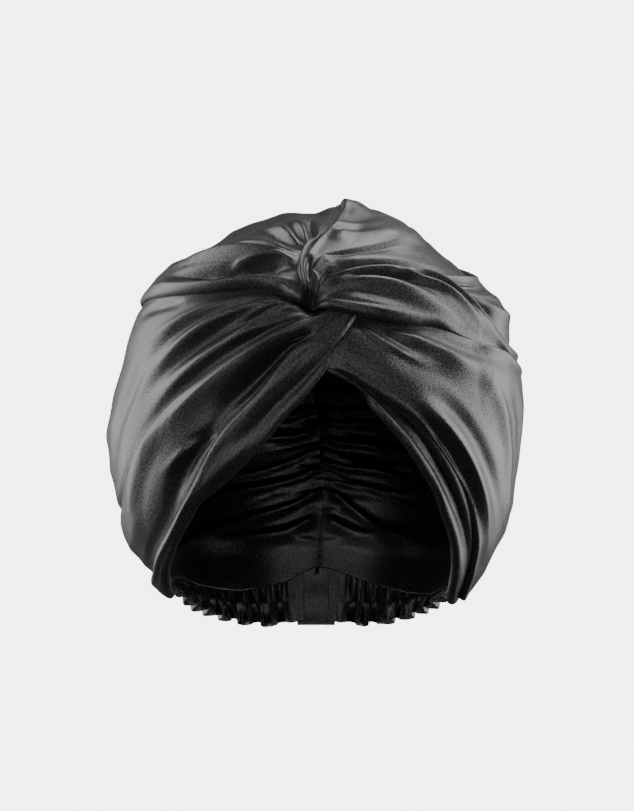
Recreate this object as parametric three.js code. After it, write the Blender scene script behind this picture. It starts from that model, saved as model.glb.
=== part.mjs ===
// A pre-tied satin turban: pleated panels that cross in a twist over the brow, a gathered seam from the
// twist over the peak and down the back, rolled bands along the V-shaped face opening, a ruched lining and
// a ruffled elastic band at the nape.
// Millimetres, +Z up, the face opening towards -Y. The origin is the top of the hollow, where the crown of
// the wearer's head touches the lining.

import * as THREE from 'three';

// Reach of the cloth from the middle of the head
const crownHeight = 95;
const leftReach = 104;
const rightReach = 106;
const frontReach = 101;
const backReach = 121;

// Cloth walls, and how the layers lie on each other
const clothWall = 1.6;
const liningWall = 1.4;
const layerGap = 0.65;
const lapWidth = 6;
const liningInset = 8;
const seamGap = 0.7;
const buttGap = 1.8;
const chordGap = 1.5;
const seatedEdge = 1.5;
const bellyHeight = 2;
const foldWidth = 10;
const foldDepth = 2;
const foldRamp = 9;

// Twist at the front, peak of the crown and gathers of the back seam
const moundHeight = 7;
const moundRadius = 34;
const sinkDepth = 6;
const sinkRadius = 15;
const peakHeight = 7;
const peakRadius = 15;
const backDipDepth = 3;
const backDipWidth = 16;
const gatherDepth = 1.8;
const gatherPitch = 26;
const gatherReach = 45;

// Rolled bands along the face opening
const rollRadius = 4.4;
const rollAngle = 168;

// Ruching of the lining along its back seam
const rucheDepth = 2.6;
const ruchePitch = 17;
const rucheReach = 52;
const rucheRise = 20;
const hemInset = 1.65;
const hemHeight = 3;
const hollowDepth = 34;

// Nape elastic, its ruffle and the flat tab between its halves
const casingHeight = 17;
const ruffleHeight = 8;
const fluteDepth = 1.3;
const casingBulge = 1.4;
const ruffleDepth = 2.4;
const ruffleFlare = 1.2;
const flutePitch = 9.5;
const tabWidth = 17;
const tabHeight = 23;
const napeInset = 2.4;

// Levels of the nape, in degrees of elevation, and the azimuth where its elastic starts beside the ear
const liningLevel = -46.2;
const tabLevel = -47.8;
const casingLevel = -48.5;
const casingStart = 78.3;

// The nape's distance from the middle of the head and its level reach, as shares of the reach to the back
const napeShare = 1.33;
const napeRingShare = 0.79;

// Number of stations along a panel and of rows across it, and how they crowd towards the twist
const panelStations = 22;
const stripStations = 15;
const rollRows = 4;
const stationCrowding = 1.15;
const settleShare = 0.07;
const ruchedRows = 18;
const plainRows = 5;

const layerStep = clothWall + layerGap;
const headCentre = new THREE.Vector3(0, 0, -(crownHeight - liningInset - liningWall));
const roundness = 2.2;

// Sections of the main form, from the top down. Each row holds an elevation seen from the middle of the
// head, in degrees, and the reach to the left, right, front and back as shares of the four named reaches.
const formRows = [
  { elevation: 70, left: 0.88, right: 0.93, front: 0.95, back: 0.84 },
  { elevation: 50, left: 0.92, right: 0.925, front: 0.97, back: 0.915 },
  { elevation: 30, left: 0.985, right: 0.985, front: 0.98, back: 0.975 },
  { elevation: 10, left: 0.965, right: 0.975, front: 1.0, back: 1.0 },
  { elevation: -10, left: 1.035, right: 0.975, front: 1.03, back: 0.99 },
  { elevation: -30, left: 1.11, right: 1.06, front: 1.089, back: 1.0 },
  { elevation: -50, left: 1.212, right: 1.17, front: 1.228, back: 1.207 },
  { elevation: -65, left: 1.346, right: 1.302, front: 1.386, back: 1.488 },
];
const reachOf = { left: leftReach, right: rightReach, front: frontReach, back: backReach };

// A direction from the middle of the head. Azimuth 0 is the face, 90 the +X side; both in degrees.
function direction(azimuth, elevation) {
  const a = THREE.MathUtils.degToRad(azimuth);
  const e = THREE.MathUtils.degToRad(elevation);
  return new THREE.Vector3(Math.sin(a) * Math.cos(e), -Math.cos(a) * Math.cos(e), Math.sin(e));
}

// Smooth reach to one side at an elevation, through the rows of the form
function sideReach(side, elevation) {
  const rows = [{ at: 90, reach: crownHeight }];
  for (const row of formRows) rows.push({ at: row.elevation, reach: row[side] * reachOf[side] });
  const last = rows.length - 1;
  const slope = (k) => {
    const before = rows[Math.max(k - 1, 0)];
    const after = rows[Math.min(k + 1, last)];
    return (after.reach - before.reach) / (after.at - before.at);
  };
  const at = THREE.MathUtils.clamp(elevation, rows[last].at, 90);
  let k = 0;
  while (k < last - 1 && rows[k + 1].at > at) k += 1;
  const span = rows[k + 1].at - rows[k].at;
  const t = (at - rows[k].at) / span;
  const t2 = t * t;
  const t3 = t2 * t;
  return (2 * t3 - 3 * t2 + 1) * rows[k].reach + (t3 - 2 * t2 + t) * span * slope(k)
    + (3 * t2 - 2 * t3) * rows[k + 1].reach + (t3 - t2) * span * slope(k + 1);
}

const meanReach = (leftReach + rightReach) / 2;
const twistCentre = direction(-1, 33);
const peakCentre = direction(90, 82);

// Distance over the cloth between two directions
function spread(one, other) {
  return one.angleTo(other) * meanReach;
}

function bell(distance, radius) {
  return Math.exp(-((distance / radius) ** 2));
}

// Distance from the back seam, which lies in the plane between left and right behind the peak
function fromBackSeam(toward) {
  const behind = THREE.MathUtils.smoothstep(toward.y, -0.1, 0.35);
  return Math.abs(toward.x) * meanReach + (1 - behind) * gatherReach * 3;
}

// Reach of the inner face of the cloth before any layer is added
function formReach(toward) {
  const elevation = THREE.MathUtils.radToDeg(Math.asin(THREE.MathUtils.clamp(toward.z, -1, 1)));
  const flat = Math.hypot(toward.x, toward.y) + 1e-9;
  const side = sideReach(toward.x < 0 ? 'left' : 'right', elevation);
  const depth = sideReach(toward.y < 0 ? 'front' : 'back', elevation);
  const across = Math.abs(toward.x / flat) ** roundness / side ** roundness;
  const along = Math.abs(toward.y / flat) ** roundness / depth ** roundness;
  const plain = (across + along) ** (-1 / roundness);
  const toTwist = spread(toward, twistCentre);
  const mound = moundHeight * bell(toTwist, moundRadius) - sinkDepth * bell(toTwist, sinkRadius);
  return plain + mound - backDipDepth * bell(fromBackSeam(toward), backDipWidth);
}

// The gathered point of satin over the top of the head
function peakRise(toward) {
  return peakHeight * bell(spread(toward, peakCentre), peakRadius);
}

// Edges of the panels, as azimuth and elevation in degrees, from the twist round to the back seam
const crownSeam = [[-3, 49], [0, 55], [6, 62], [14, 68], [26, 75], [55, 81], [90, 83], [140, 80], [172, 68],
  [180, 52], [180, 38]];
const twistSeam = [[-1, 36], [-3, 40], [-4, 44]];
const leftCrownEdge = [[-5, 49.5], [-11, 50], [-28, 53], [-51, 54], [-75, 51], [-105, 46],
  [-140, 40], [-179.8, 35]];
const leftMiddleEdge = [[-3, 33], [-8, 33], [-12, 35.5], [-20, 36.5], [-38, 35], [-58, 33],
  [-76, 31], [-100, 27],
  [-140, 21], [-179.8, 17]];
const leftLowerEdge = [[-1, 28], [-6, 25], [-17, 20], [-28, 14], [-33, 10], [-42, 3], [-54, -9], [-64, -21],
  [-76, -29], [-95, -34], [-130, -36], [-179.8, -36]];
const leftStripEdge = [[2.5, 25.5], [-2, 21], [-6, 19], [-16, 7], [-26, -4], [-36, -19],
  [-45, -29], [-56, -37],
  [-64, -42], [-77, -46]];
const leftHem = [[-90, -47.6], [-115, -48.8], [-145, -49], [-179.8, -49]];
const leftOpeningEdge = [[10, 26.5], [7, 20], [3, 14], [-1, 9], [-9, -1], [-18, -12], [-27, -20],
  [-34, -25],
  [-47, -35], [-59, -41.5], [-66, -46.5], [-77, -53]];
const rightCrownEdge = [[-0.5, 35], [3, 38], [7, 40.5], [14, 42.5], [24, 43.5], [33, 43],
  [45, 41.5], [56, 40],
  [75, 39], [105, 38], [140, 37], [179.8, 35]];
const rightBackEdge = [[51, 38.5], [57, 32], [61, 25], [67, 18.5], [80, 14.5], [110, 12],
  [145, 13], [179.8, 16]];
const rightPanelEdge = [[0, 32], [7, 29], [14, 27], [28, 25], [36, 24.5], [43, 22.5], [57, 18], [66, 15.5],
  [76, 12], [90, 8.5], [115, 5], [145, 3], [179.8, 3]];
const rightRollEdge = [[3, 14], [9, 11], [15, 7], [28, -2], [37, -11], [47, -23], [62, -35],
  [69, -41], [77, -46.5]];
const rightHem = [[90, -47.8], [115, -48.8], [145, -49], [179.8, -49]];
const rightOpeningEdge = [[2, 13.5], [8, 10.5], [16, 4], [27, -9], [32, -16], [36, -23],
  [42, -30], [47, -36],
  [53, -43.5], [60, -49.5], [77, -54]];
const twistLeftOutline = [[4, 62], [-2, 56], [-5, 50], [-6.5, 45], [-6, 41], [-4, 36.5], [-2.6, 34.5]];
const twistRightOutline = [[6.5, 60], [4.5, 54], [3, 48.5], [-0.5, 43.5], [-2, 40], [-2, 36], [-1.9, 34.5]];

// Panels, in the order in which they are laid. The belly is a share of the belly height. A lap table gives,
// at shares of the panel's length, how many layers the edge lies above its neighbour: 1 is over it, 0 beside
// it and -1 tucked under it. A roll table gives how far round the bottom edge is rolled.
const over = [[0, 1], [1, 1]];
const under = [[0, -1], [1, -1]];
const panels = [
  {
    name: 'crown_left', top: crownSeam, bottom: leftCrownEdge,
    stations: panelStations, rows: 10, belly: 0.75,
    topLap: [[0, -1], [0.5, -1], [0.58, 0], [1, 0]], bottomLap: under,
  },
  {
    name: 'crown_right', top: [...twistSeam, ...crownSeam], bottom: rightCrownEdge, stations: panelStations,
    rows: 10, belly: 0.75, topLap: [[0, 1.3], [0.64, 1.3], [0.74, 0], [1, 0]], bottomLap: under,
  },
  {
    name: 'wrap_left_upper', top: leftCrownEdge, bottom: leftMiddleEdge, stations: panelStations, rows: 8,
    belly: 1.5, topLap: over, bottomLap: over,
  },
  {
    name: 'wrap_left_middle', top: leftMiddleEdge, bottom: leftLowerEdge, stations: panelStations, rows: 10,
    belly: 1.25, topLap: under, bottomLap: under,
  },
  {
    name: 'wrap_left_lower', top: leftLowerEdge, bottom: [...leftStripEdge, ...leftHem],
    stations: panelStations,
    rows: 7, belly: 1.25, topLap: over,
    bottomLap: [[0, 0], [0.03, 0], [0.08, -1], [0.48, -1], [0.55, 0], [1, 0]],
  },
  {
    name: 'wrap_right_back', top: [[43, 42], ...rightCrownEdge.slice(6)],
    bottom: [[43, 40.5], ...rightBackEdge],
    stations: 18, rows: 6, belly: 1.5, topLap: over,
    bottomLap: [[0, -1], [0.08, -1], [0.14, -0.5], [0.4, -0.5], [0.55, -1], [1, -1]],
  },
  {
    name: 'wrap_right_upper', top: [...rightCrownEdge.slice(0, 7), ...rightBackEdge],
    bottom: rightPanelEdge,
    stations: panelStations, rows: 7, belly: 2,
    topLap: [[0, 2], [0.24, 2], [0.3, 1.7], [0.5, 1.7], [0.6, 1], [1, 1]],
    bottomLap: [[0, 2], [0.1, 1.2], [0.23, 1.2], [0.26, 0], [0.31, 0], [0.36, -1], [1, -1]],
  },
  {
    name: 'wrap_right_lower', top: [[9, 28], ...rightPanelEdge.slice(2)],
    bottom: [...rightRollEdge, ...rightHem],
    stations: panelStations, rows: 10, belly: 1.5,
    topLap: [[0, -1], [0.14, -1], [0.17, 0], [0.24, 0], [0.27, 1.5], [0.3, 3], [0.46, 3], [0.56, 1], [1, 1]],
    bottomLap: [[0, 0.3], [0.04, 1], [0.56, 1], [0.66, 0], [1, 0]],
  },
  {
    name: 'front_band_left', top: leftStripEdge, bottom: leftOpeningEdge, stations: stripStations, rows: 4,
    belly: 0.5, topLap: [[0, 1.1], [1, 1.1]], bottomLap: [[0, 1.6], [0.17, 1.6], [0.24, 0], [1, 0]],
    roll: [[0, 0.1], [0.17, 0.1], [0.27, 1], [1, 1]],
  },
  {
    name: 'front_band_right', top: rightRollEdge, bottom: rightOpeningEdge,
    stations: stripStations, rows: 3,
    belly: 0.25, topLap: [[0, 0], [0.06, 0], [0.14, -1], [0.88, -1], [0.97, 0], [1, 0]],
    bottomLap: [[0, 0], [1, 0]],
    roll: [[0, 0.1], [0.06, 1], [1, 1]],
  },
  {
    name: 'twist_fold', top: twistLeftOutline, bottom: twistRightOutline, stations: 10, rows: 4,
    belly: 1.3, topLap: [[0, 2.4], [1, 2.4]], bottomLap: [[0, 2.4], [1, 2.4]],
  },
];

// Folds pressed into the panels: each runs from one point past a second to a third, as azimuth and
// elevation in degrees. Its width is a share of the fold width and its height a share of the fold depth,
// positive for a ridge and negative for a valley.
const folds = [
  { panel: 'crown_left', path: [[-6, 54], [-16, 60], [-41, 64]], width: 1.1, height: -1.3 },
  { panel: 'crown_left', path: [[0, 58], [-5, 66], [-16, 74]], width: 0.9, height: -1 },
  { panel: 'crown_left', path: [[-8, 52], [-25, 57], [-60, 57]], width: 1, height: 1 },
  { panel: 'crown_right', path: [[6, 51], [24, 52], [56, 53]], width: 1, height: -1.1 },
  { panel: 'crown_right', path: [[14, 63], [25, 63], [36, 61]], width: 1.2, height: -1.2 },
  { panel: 'crown_right', path: [[8, 46], [28, 48], [60, 45]], width: 1, height: 1 },
  { panel: 'wrap_left_upper', path: [[-8, 47], [-29, 50], [-80, 41]], width: 1.2, height: 1.7 },
  { panel: 'wrap_left_upper', path: [[-10, 42], [-33, 44], [-56, 37]], width: 1.2, height: -2 },
  { panel: 'wrap_left_upper', path: [[-16, 38], [-47, 37], [-90, 31]], width: 1, height: 1 },
  { panel: 'wrap_left_middle', path: [[-15, 33], [-38, 28], [-62, 18]], width: 1.1, height: 1 },
  { panel: 'wrap_left_middle', path: [[-15, 30], [-35, 22], [-54, 8]], width: 1.1, height: -1.5 },
  { panel: 'wrap_left_middle', path: [[-9, 30], [-22, 25], [-46, 6]], width: 1.1, height: 1.5 },
  { panel: 'wrap_left_middle', path: [[-12, 25], [-28, 17], [-44, 5]], width: 0.9, height: -1.2 },
  { panel: 'wrap_left_lower', path: [[-4, 24], [-31, 8], [-58, -16]], width: 1.2, height: 1.3 },
  { panel: 'wrap_left_lower', path: [[-3, 22], [-15, 11], [-30, -4]], width: 1.1, height: -2.3 },
  { panel: 'wrap_left_lower', path: [[-25, -4], [-36, -11], [-46, -26]], width: 1.1, height: -1.5 },
  { panel: 'wrap_right_upper', path: [[8, 38], [25, 39], [50, 31]], width: 1, height: -2.25 },
  { panel: 'wrap_right_upper', path: [[6, 34], [26, 34], [54, 21]], width: 1.4, height: 1.7 },
  { panel: 'wrap_right_back', path: [[52, 38], [72, 33], [100, 30]], width: 1.1, height: -1.2 },
  { panel: 'wrap_right_lower', path: [[20, 22], [38, 17], [66, 8]], width: 1.3, height: 1.2 },
  { panel: 'wrap_right_lower', path: [[34, -2], [48, -14], [66, -32]], width: 1, height: 1.4 },
  { panel: 'wrap_right_lower', path: [[36, 3], [54, -8], [68, -26]], width: 1, height: -1.2 },
];

// Value of a table of [share, value] pairs at a share, with straight lines between the pairs
function valueAt(table, share) {
  let k = 0;
  while (k < table.length - 2 && table[k + 1][0] < share) k += 1;
  const [from, start] = table[k];
  const [to, end] = table[k + 1];
  return THREE.MathUtils.lerp(start, end, THREE.MathUtils.clamp((share - from) / (to - from), 0, 1));
}

// A smooth line of directions through a list of azimuths and elevations
function edgeCurve(points) {
  return new THREE.CatmullRomCurve3(points.map(([a, e]) => direction(a, e)), false, 'centripetal');
}

// The folds of a panel, each with its line of directions
function foldPaths(panelName) {
  return folds.filter((fold) => fold.panel === panelName).map((fold) => {
    const [from, past, to] = fold.path.map(([a, e]) => direction(a, e));
    const bend = past.clone().multiplyScalar(2).addScaledVector(from, -0.5).addScaledVector(to, -0.5);
    const line = new THREE.QuadraticBezierCurve3(from, bend, to).getPoints(16);
    return { line, width: fold.width * foldWidth, rise: fold.height * foldDepth };
  });
}

// Sum of the folds at a direction
function foldHeight(paths, toward) {
  let height = 0;
  for (const { line, width, rise } of paths) {
    let nearest = Infinity;
    let along = 0;
    line.forEach((point, k) => {
      const distance = point.distanceTo(toward) * meanReach;
      if (distance < nearest) {
        nearest = distance;
        along = k / (line.length - 1);
      }
    });
    if (nearest < width) {
      const taper = Math.sin(Math.PI * THREE.MathUtils.clamp(along, 0.03, 0.97)) ** 0.5;
      height += rise * taper * 0.5 * (1 + Math.cos(Math.PI * nearest / width));
    }
  }
  return height;
}

// Gathers that run into the back seam
function seamGather(toward) {
  const elevation = Math.atan2(toward.z, toward.y);
  return gatherDepth * Math.cos((2 * Math.PI * elevation * meanReach) / gatherPitch)
    * bell(fromBackSeam(toward), gatherReach);
}

// Closed wall between an outer grid of points and the inner faces behind them
function wallMesh(name, outer, normals, wall, colour) {
  const rows = outer[0].length;
  const stations = outer.length;
  const positions = [];
  for (const depth of [0, wall]) {
    outer.forEach((line, i) => line.forEach((point, j) => {
      const place = point.clone().addScaledVector(normals[i][j], -depth);
      positions.push(place.x, place.y, place.z);
    }));
  }
  const inner = stations * rows;
  const at = (i, j) => i * rows + j;
  const faces = [];
  const quad = (a, b, c, d) => faces.push(a, b, c, a, c, d);
  for (let i = 0; i < stations - 1; i += 1) {
    for (let j = 0; j < rows - 1; j += 1) {
      quad(at(i, j), at(i + 1, j), at(i + 1, j + 1), at(i, j + 1));
      quad(inner + at(i, j), inner + at(i, j + 1), inner + at(i + 1, j + 1), inner + at(i + 1, j));
    }
    quad(at(i, 0), inner + at(i, 0), inner + at(i + 1, 0), at(i + 1, 0));
    quad(at(i, rows - 1), at(i + 1, rows - 1), inner + at(i + 1, rows - 1), inner + at(i, rows - 1));
  }
  for (let j = 0; j < rows - 1; j += 1) {
    quad(at(0, j), at(0, j + 1), inner + at(0, j + 1), inner + at(0, j));
    quad(at(stations - 1, j), inner + at(stations - 1, j), inner + at(stations - 1, j + 1), at(stations - 1, j + 1));
  }
  const geometry = new THREE.BufferGeometry();
  geometry.setAttribute('position', new THREE.Float32BufferAttribute(positions, 3));
  const i = Math.floor(stations / 2);
  const middle = outer[i][1];
  const along = outer[i + 1][1].clone().sub(middle);
  const across = outer[i][2].clone().sub(middle);
  const facing = along.cross(across).dot(normals[i][1]);
  geometry.setIndex(facing > 0 ? faces : faces.reverse());
  geometry.computeVertexNormals();
  const mesh = new THREE.Mesh(geometry, new THREE.MeshStandardMaterial({ color: colour, roughness: 0.35 }));
  mesh.name = name;
  return mesh;
}

// Outward normal at each point of a grid
function gridNormals(grid) {
  const stations = grid.length;
  const rows = grid[0].length;
  return grid.map((line, i) => line.map((point, j) => {
    const along = grid[Math.min(i + 1, stations - 1)][j].clone().sub(grid[Math.max(i - 1, 0)][j]);
    const across = line[Math.min(j + 1, rows - 1)].clone().sub(line[Math.max(j - 1, 0)]);
    const normal = along.cross(across).normalize();
    return normal.dot(point.clone().sub(headCentre)) < 0 ? normal.negate() : normal;
  }));
}

// Shares across a panel: the two edges, a seated line close inside each, and even rows between them
function rowShares(rows, start, end, seated) {
  const inset = Math.min(seated, 0.1);
  const shares = [start];
  for (let j = 1; j < rows; j += 1) shares.push(THREE.MathUtils.lerp(inset, 1 - inset, (j - 1) / (rows - 2)));
  shares.push(end);
  return shares;
}

// Ends the walls at the seam squarely, so that the two sides stay apart
function keepAtSeam(grid, normals) {
  grid.forEach((line, i) => line.forEach((point, j) => {
    if (Math.abs(point.x) < seamGap) normals[i][j].setX(0).normalize();
  }));
}

// How far an edge is carried on under its neighbour, or held back from it where the two lie side by side
function carriedOn(lap, width) {
  const under = Math.min(Math.max(-lap, 0) * lapWidth, 0.4 * width);
  const beside = 1 - Math.min(Math.abs(lap), 1);
  return under - beside * buttGap / 2;
}

// Share of its full lift that a lapped edge still gives the cloth at a distance from it
function liftLeft(distance, width) {
  return 1 - THREE.MathUtils.smoothstep(distance, lapWidth, Math.max(width, lapWidth * 1.8));
}

// One panel of satin between its top and bottom edge
function panelMesh(panel) {
  const topCurve = edgeCurve(panel.top);
  const bottomCurve = edgeCurve(panel.bottom);
  const paths = foldPaths(panel.name);
  const side = panel.name.includes('left') ? -1 : 1;
  const grid = [];
  for (let i = 0; i < panel.stations; i += 1) {
    const share = (i / (panel.stations - 1)) ** stationCrowding;
    const settled = THREE.MathUtils.smoothstep(share, 0, settleShare);
    const top = topCurve.getPointAt(share).normalize();
    const bottom = bottomCurve.getPointAt(share).normalize();
    const width = Math.max(spread(top, bottom), clothWall);
    const topLap = valueAt(panel.topLap, share);
    const bottomLap = valueAt(panel.bottomLap, share);
    const start = -carriedOn(topLap, width) / width;
    const end = 1 + carriedOn(bottomLap, width) / width;
    const line = [];
    for (const across of rowShares(panel.rows, start, end, seatedEdge / width)) {
      const toward = top.clone().lerp(bottom, across).normalize();
      const inside = THREE.MathUtils.clamp(across, 0, 1);
      const topLift = Math.max(topLap, 0) * liftLeft(inside * width, width);
      const bottomLift = Math.max(bottomLap, 0) * liftLeft((1 - inside) * width, width);
      const lift = layerStep * Math.max(topLift, bottomLift);
      const edge = Math.min(inside, 1 - inside) * width;
      const open = THREE.MathUtils.smoothstep(edge, seatedEdge, seatedEdge + foldRamp);
      const belly = panel.belly * bellyHeight * Math.sin(Math.PI * inside);
      const relief = open * settled * (foldHeight(paths, toward) + seamGather(toward) + belly);
      const reach = formReach(toward) + peakRise(toward) + lift + relief + clothWall;
      const place = toward.clone().multiplyScalar(reach).add(headCentre);
      if (toward.y > 0.3) place.x = side * Math.max(side * place.x, seamGap / 2);
      line.push(place);
    }
    grid.push(line);
  }
  const normals = gridNormals(grid);
  keepAtSeam(grid, normals);
  if (panel.roll) addRoll(panel, grid, normals);
  return wallMesh(panel.name, grid, normals, clothWall, 0x16161a);
}

// Rows that carry the bottom edge of a band round and inwards
function addRoll(panel, grid, normals) {
  grid.forEach((line, i) => {
    const share = (i / (panel.stations - 1)) ** stationCrowding;
    const edge = line[line.length - 1];
    const outward = normals[i][line.length - 1];
    const beyond = edge.clone().sub(line[line.length - 2]);
    beyond.addScaledVector(outward, -beyond.dot(outward)).normalize();
    for (let k = 1; k <= rollRows; k += 1) {
      const turn = THREE.MathUtils.degToRad(rollAngle) * valueAt(panel.roll, share) * k / rollRows;
      const point = edge.clone().addScaledVector(beyond, rollRadius * Math.sin(turn))
        .addScaledVector(outward, -rollRadius * (1 - Math.cos(turn)));
      line.push(point);
      normals[i].push(outward.clone().multiplyScalar(Math.cos(turn)).addScaledVector(beyond, Math.sin(turn)));
    }
  });
}

// Lower edge of the lining, as elevation at an azimuth, on each side of the head
const leftLiningEdge = [[0, 14.5], [1, 9.5], [5, 4.5], [9, -0.5], [18, -11], [27, -18.2],
  [34, -22.4], [47, -32],
  [59, -39.3], [66, -44], [77, -46.3], [90, liningLevel], [180, liningLevel]];
const rightLiningEdge = [[0, 15], [4, 14.5], [8, 11.5], [12, 8.5], [16, 4.5], [21, -0.5],
  [27, -8], [32, -15],
  [36, -22], [42, -29], [47, -34.5], [53, -41], [60, -45.5], [77, -47], [90, liningLevel], [180, liningLevel]];
const liningAzimuths = [0, 9, 20, 34, 52, 74, 100, 125, 146, 162, 173, 180];

// One half of the lining: an open half dome, ruched where it meets the back seam
function liningMesh(name, side, edgeTable) {
  const rucheStep = THREE.MathUtils.radToDeg(ruchePitch / 2 / meanReach);
  const ruchedTop = liningLevel + rucheStep * ruchedRows;
  const grid = liningAzimuths.map((azimuth) => {
    const low = valueAt(edgeTable, azimuth);
    const turn = Math.max(ruchedTop, low + 8);
    const line = [];
    for (let j = 0; j <= ruchedRows + plainRows; j += 1) {
      const level = j <= ruchedRows ? THREE.MathUtils.lerp(low, turn, j / ruchedRows)
        : THREE.MathUtils.lerp(turn, 88, (j - ruchedRows) / plainRows);
      const toward = direction(side * azimuth, level);
      const fromEdge = THREE.MathUtils.degToRad(level - low) * meanReach;
      const settled = THREE.MathUtils.smoothstep(fromEdge, hemHeight, hollowDepth);
      const inset = THREE.MathUtils.lerp(hemInset, liningInset, settled);
      const ruched = j > 0 && j <= ruchedRows ? bell(fromBackSeam(toward), rucheReach) : 0;
      const rise = rucheDepth * ruched * THREE.MathUtils.smoothstep(fromEdge, 0, rucheRise);
      const wave = rise * (j % 2 === 0 ? -1 : 0.4);
      const place = toward.clone().multiplyScalar(formReach(toward) - inset + wave).add(headCentre);
      place.x = side * Math.max(side * place.x, 0) + side * seamGap / 2;
      line.push(place);
    }
    return line;
  });
  const normals = gridNormals(grid);
  keepAtSeam(grid, normals);
  return wallMesh(name, grid, normals, liningWall, 0x101014);
}

// Rows down the casing, as shares of its height, and shares of the flutes' depth and of the casing's bulge
const casingRows = [
  { down: -0.15, depth: 0, bulge: 0 },
  { down: 0.08, depth: 0, bulge: 0 },
  { down: 0.45, depth: 1, bulge: 1 },
  { down: 0.95, depth: 0.5, bulge: 0 },
];

// Elevation of a point of the nape at a distance below a level
function levelBelow(level, distance) {
  return level - THREE.MathUtils.radToDeg(distance / (backReach * napeShare));
}

// One half of the nape elastic: a fluted casing with a ruffle below it
function elasticMesh(name, side) {
  const ringReach = backReach * napeRingShare;
  const nearTab = 180 - THREE.MathUtils.radToDeg((tabWidth / 2 + seamGap * 2.2) / ringReach);
  const halfLength = THREE.MathUtils.degToRad(nearTab - casingStart) * (backReach + meanReach) / 2 * 0.7;
  const flutes = Math.max(Math.round(halfLength / flutePitch), 3);
  const stations = flutes * 3 + 1;
  const grid = [];
  for (let i = 0; i < stations; i += 1) {
    const share = i / (stations - 1);
    const azimuth = THREE.MathUtils.lerp(casingStart, nearTab, share);
    const fullness = THREE.MathUtils.smoothstep(share, 0, 0.45);
    const wave = Math.cos(2 * Math.PI * flutes * share);
    const height = casingHeight * THREE.MathUtils.lerp(0.4, 1, fullness);
    const rows = casingRows.map((row) => (
      { below: row.down * height, ripple: wave * fluteDepth * row.depth + casingBulge * row.bulge }
    ));
    const ruffleEdge = height + ruffleHeight * THREE.MathUtils.lerp(0.5, 1, fullness);
    rows.push({ below: ruffleEdge, ripple: wave * ruffleDepth + ruffleFlare });
    grid.push(rows.map(({ below, ripple }) => {
      const toward = direction(side * azimuth, levelBelow(casingLevel, below));
      return toward.clone().multiplyScalar(formReach(toward) - napeInset + ripple * fullness).add(headCentre);
    }));
  }
  return wallMesh(name, grid, gridNormals(grid), liningWall, 0x131317);
}

// Flat tab between the halves of the elastic
function tabMesh() {
  const grid = [];
  const steps = 4;
  for (let i = 0; i <= steps; i += 1) {
    const line = [];
    for (let j = 0; j <= steps; j += 1) {
      const behind = direction(180, levelBelow(tabLevel, (tabHeight * j) / steps));
      const place = behind.multiplyScalar(formReach(behind) - napeInset).add(headCentre);
      place.x = THREE.MathUtils.lerp(-0.5, 0.5, i / steps) * tabWidth;
      line.push(place);
    }
    grid.push(line);
  }
  return wallMesh('nape_tab', grid, gridNormals(grid), clothWall, 0x17171b);
}

const group = new THREE.Group();
for (const panel of panels) group.add(panelMesh(panel));
group.add(liningMesh('lining_left', -1, leftLiningEdge));
group.add(liningMesh('lining_right', 1, rightLiningEdge));
group.add(elasticMesh('nape_elastic_left', -1));
group.add(elasticMesh('nape_elastic_right', 1));
group.add(tabMesh());

export default group;
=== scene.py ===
"""Satin turban with a twist front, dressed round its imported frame: pleated panels, rolled front bands,
ruched lining and ruffled nape elastic, each a finely modelled cloth wall in place of its plain solid."""

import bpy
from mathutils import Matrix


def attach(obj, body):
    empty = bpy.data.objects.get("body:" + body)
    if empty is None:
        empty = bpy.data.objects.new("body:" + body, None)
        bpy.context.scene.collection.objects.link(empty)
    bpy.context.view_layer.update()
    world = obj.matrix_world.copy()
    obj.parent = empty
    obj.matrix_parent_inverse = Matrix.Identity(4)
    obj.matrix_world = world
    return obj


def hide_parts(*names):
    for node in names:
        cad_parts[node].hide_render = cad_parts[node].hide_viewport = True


bl_info = {
    "name": "Satin Turban",
    "version": (1, 0, 0),
    "blender": (4, 5, 0),
    "location": "View3D > Sidebar > Turban",
    "description": "Builds a pleated satin turban with a front twist and a ruffled nape band",
    "category": "Object",
}

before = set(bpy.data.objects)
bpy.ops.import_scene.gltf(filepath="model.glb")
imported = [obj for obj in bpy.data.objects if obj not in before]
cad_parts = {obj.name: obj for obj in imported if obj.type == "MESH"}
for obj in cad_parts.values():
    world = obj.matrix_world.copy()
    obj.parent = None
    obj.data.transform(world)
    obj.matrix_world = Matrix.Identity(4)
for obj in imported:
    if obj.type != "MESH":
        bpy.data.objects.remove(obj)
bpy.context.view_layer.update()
import math

import bpy
import numpy as np
from mathutils import Vector

MILLIMETRE = 0.001
BODY = "root"

# Reach of the cloth from the middle of the head, in millimetres
CROWN_HEIGHT = 95.0
REACH = {"left": 104.0, "right": 106.0, "front": 101.0, "back": 121.0}
MEAN_REACH = (REACH["left"] + REACH["right"]) / 2
CLOTH_WALL = 1.6
LINING_WALL = 1.4
LAYER_GAP = 0.65
LAYER_STEP = CLOTH_WALL + LAYER_GAP
LAP_WIDTH = 6.0
ROLL_RADIUS = 2.8
ROLL_ANGLE = 168.0
LINING_INSET = 8.0
SEAM_GAP = 0.04
NAPE_GATHER = 1.35
HEAD_CENTRE = np.array([0.0, 0.0, -(CROWN_HEIGHT - LINING_INSET - LINING_WALL)])
ROUNDNESS = 2.2
ROUND_TOP = 0.6
FAR_FROM_SEAM = 140.0

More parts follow.
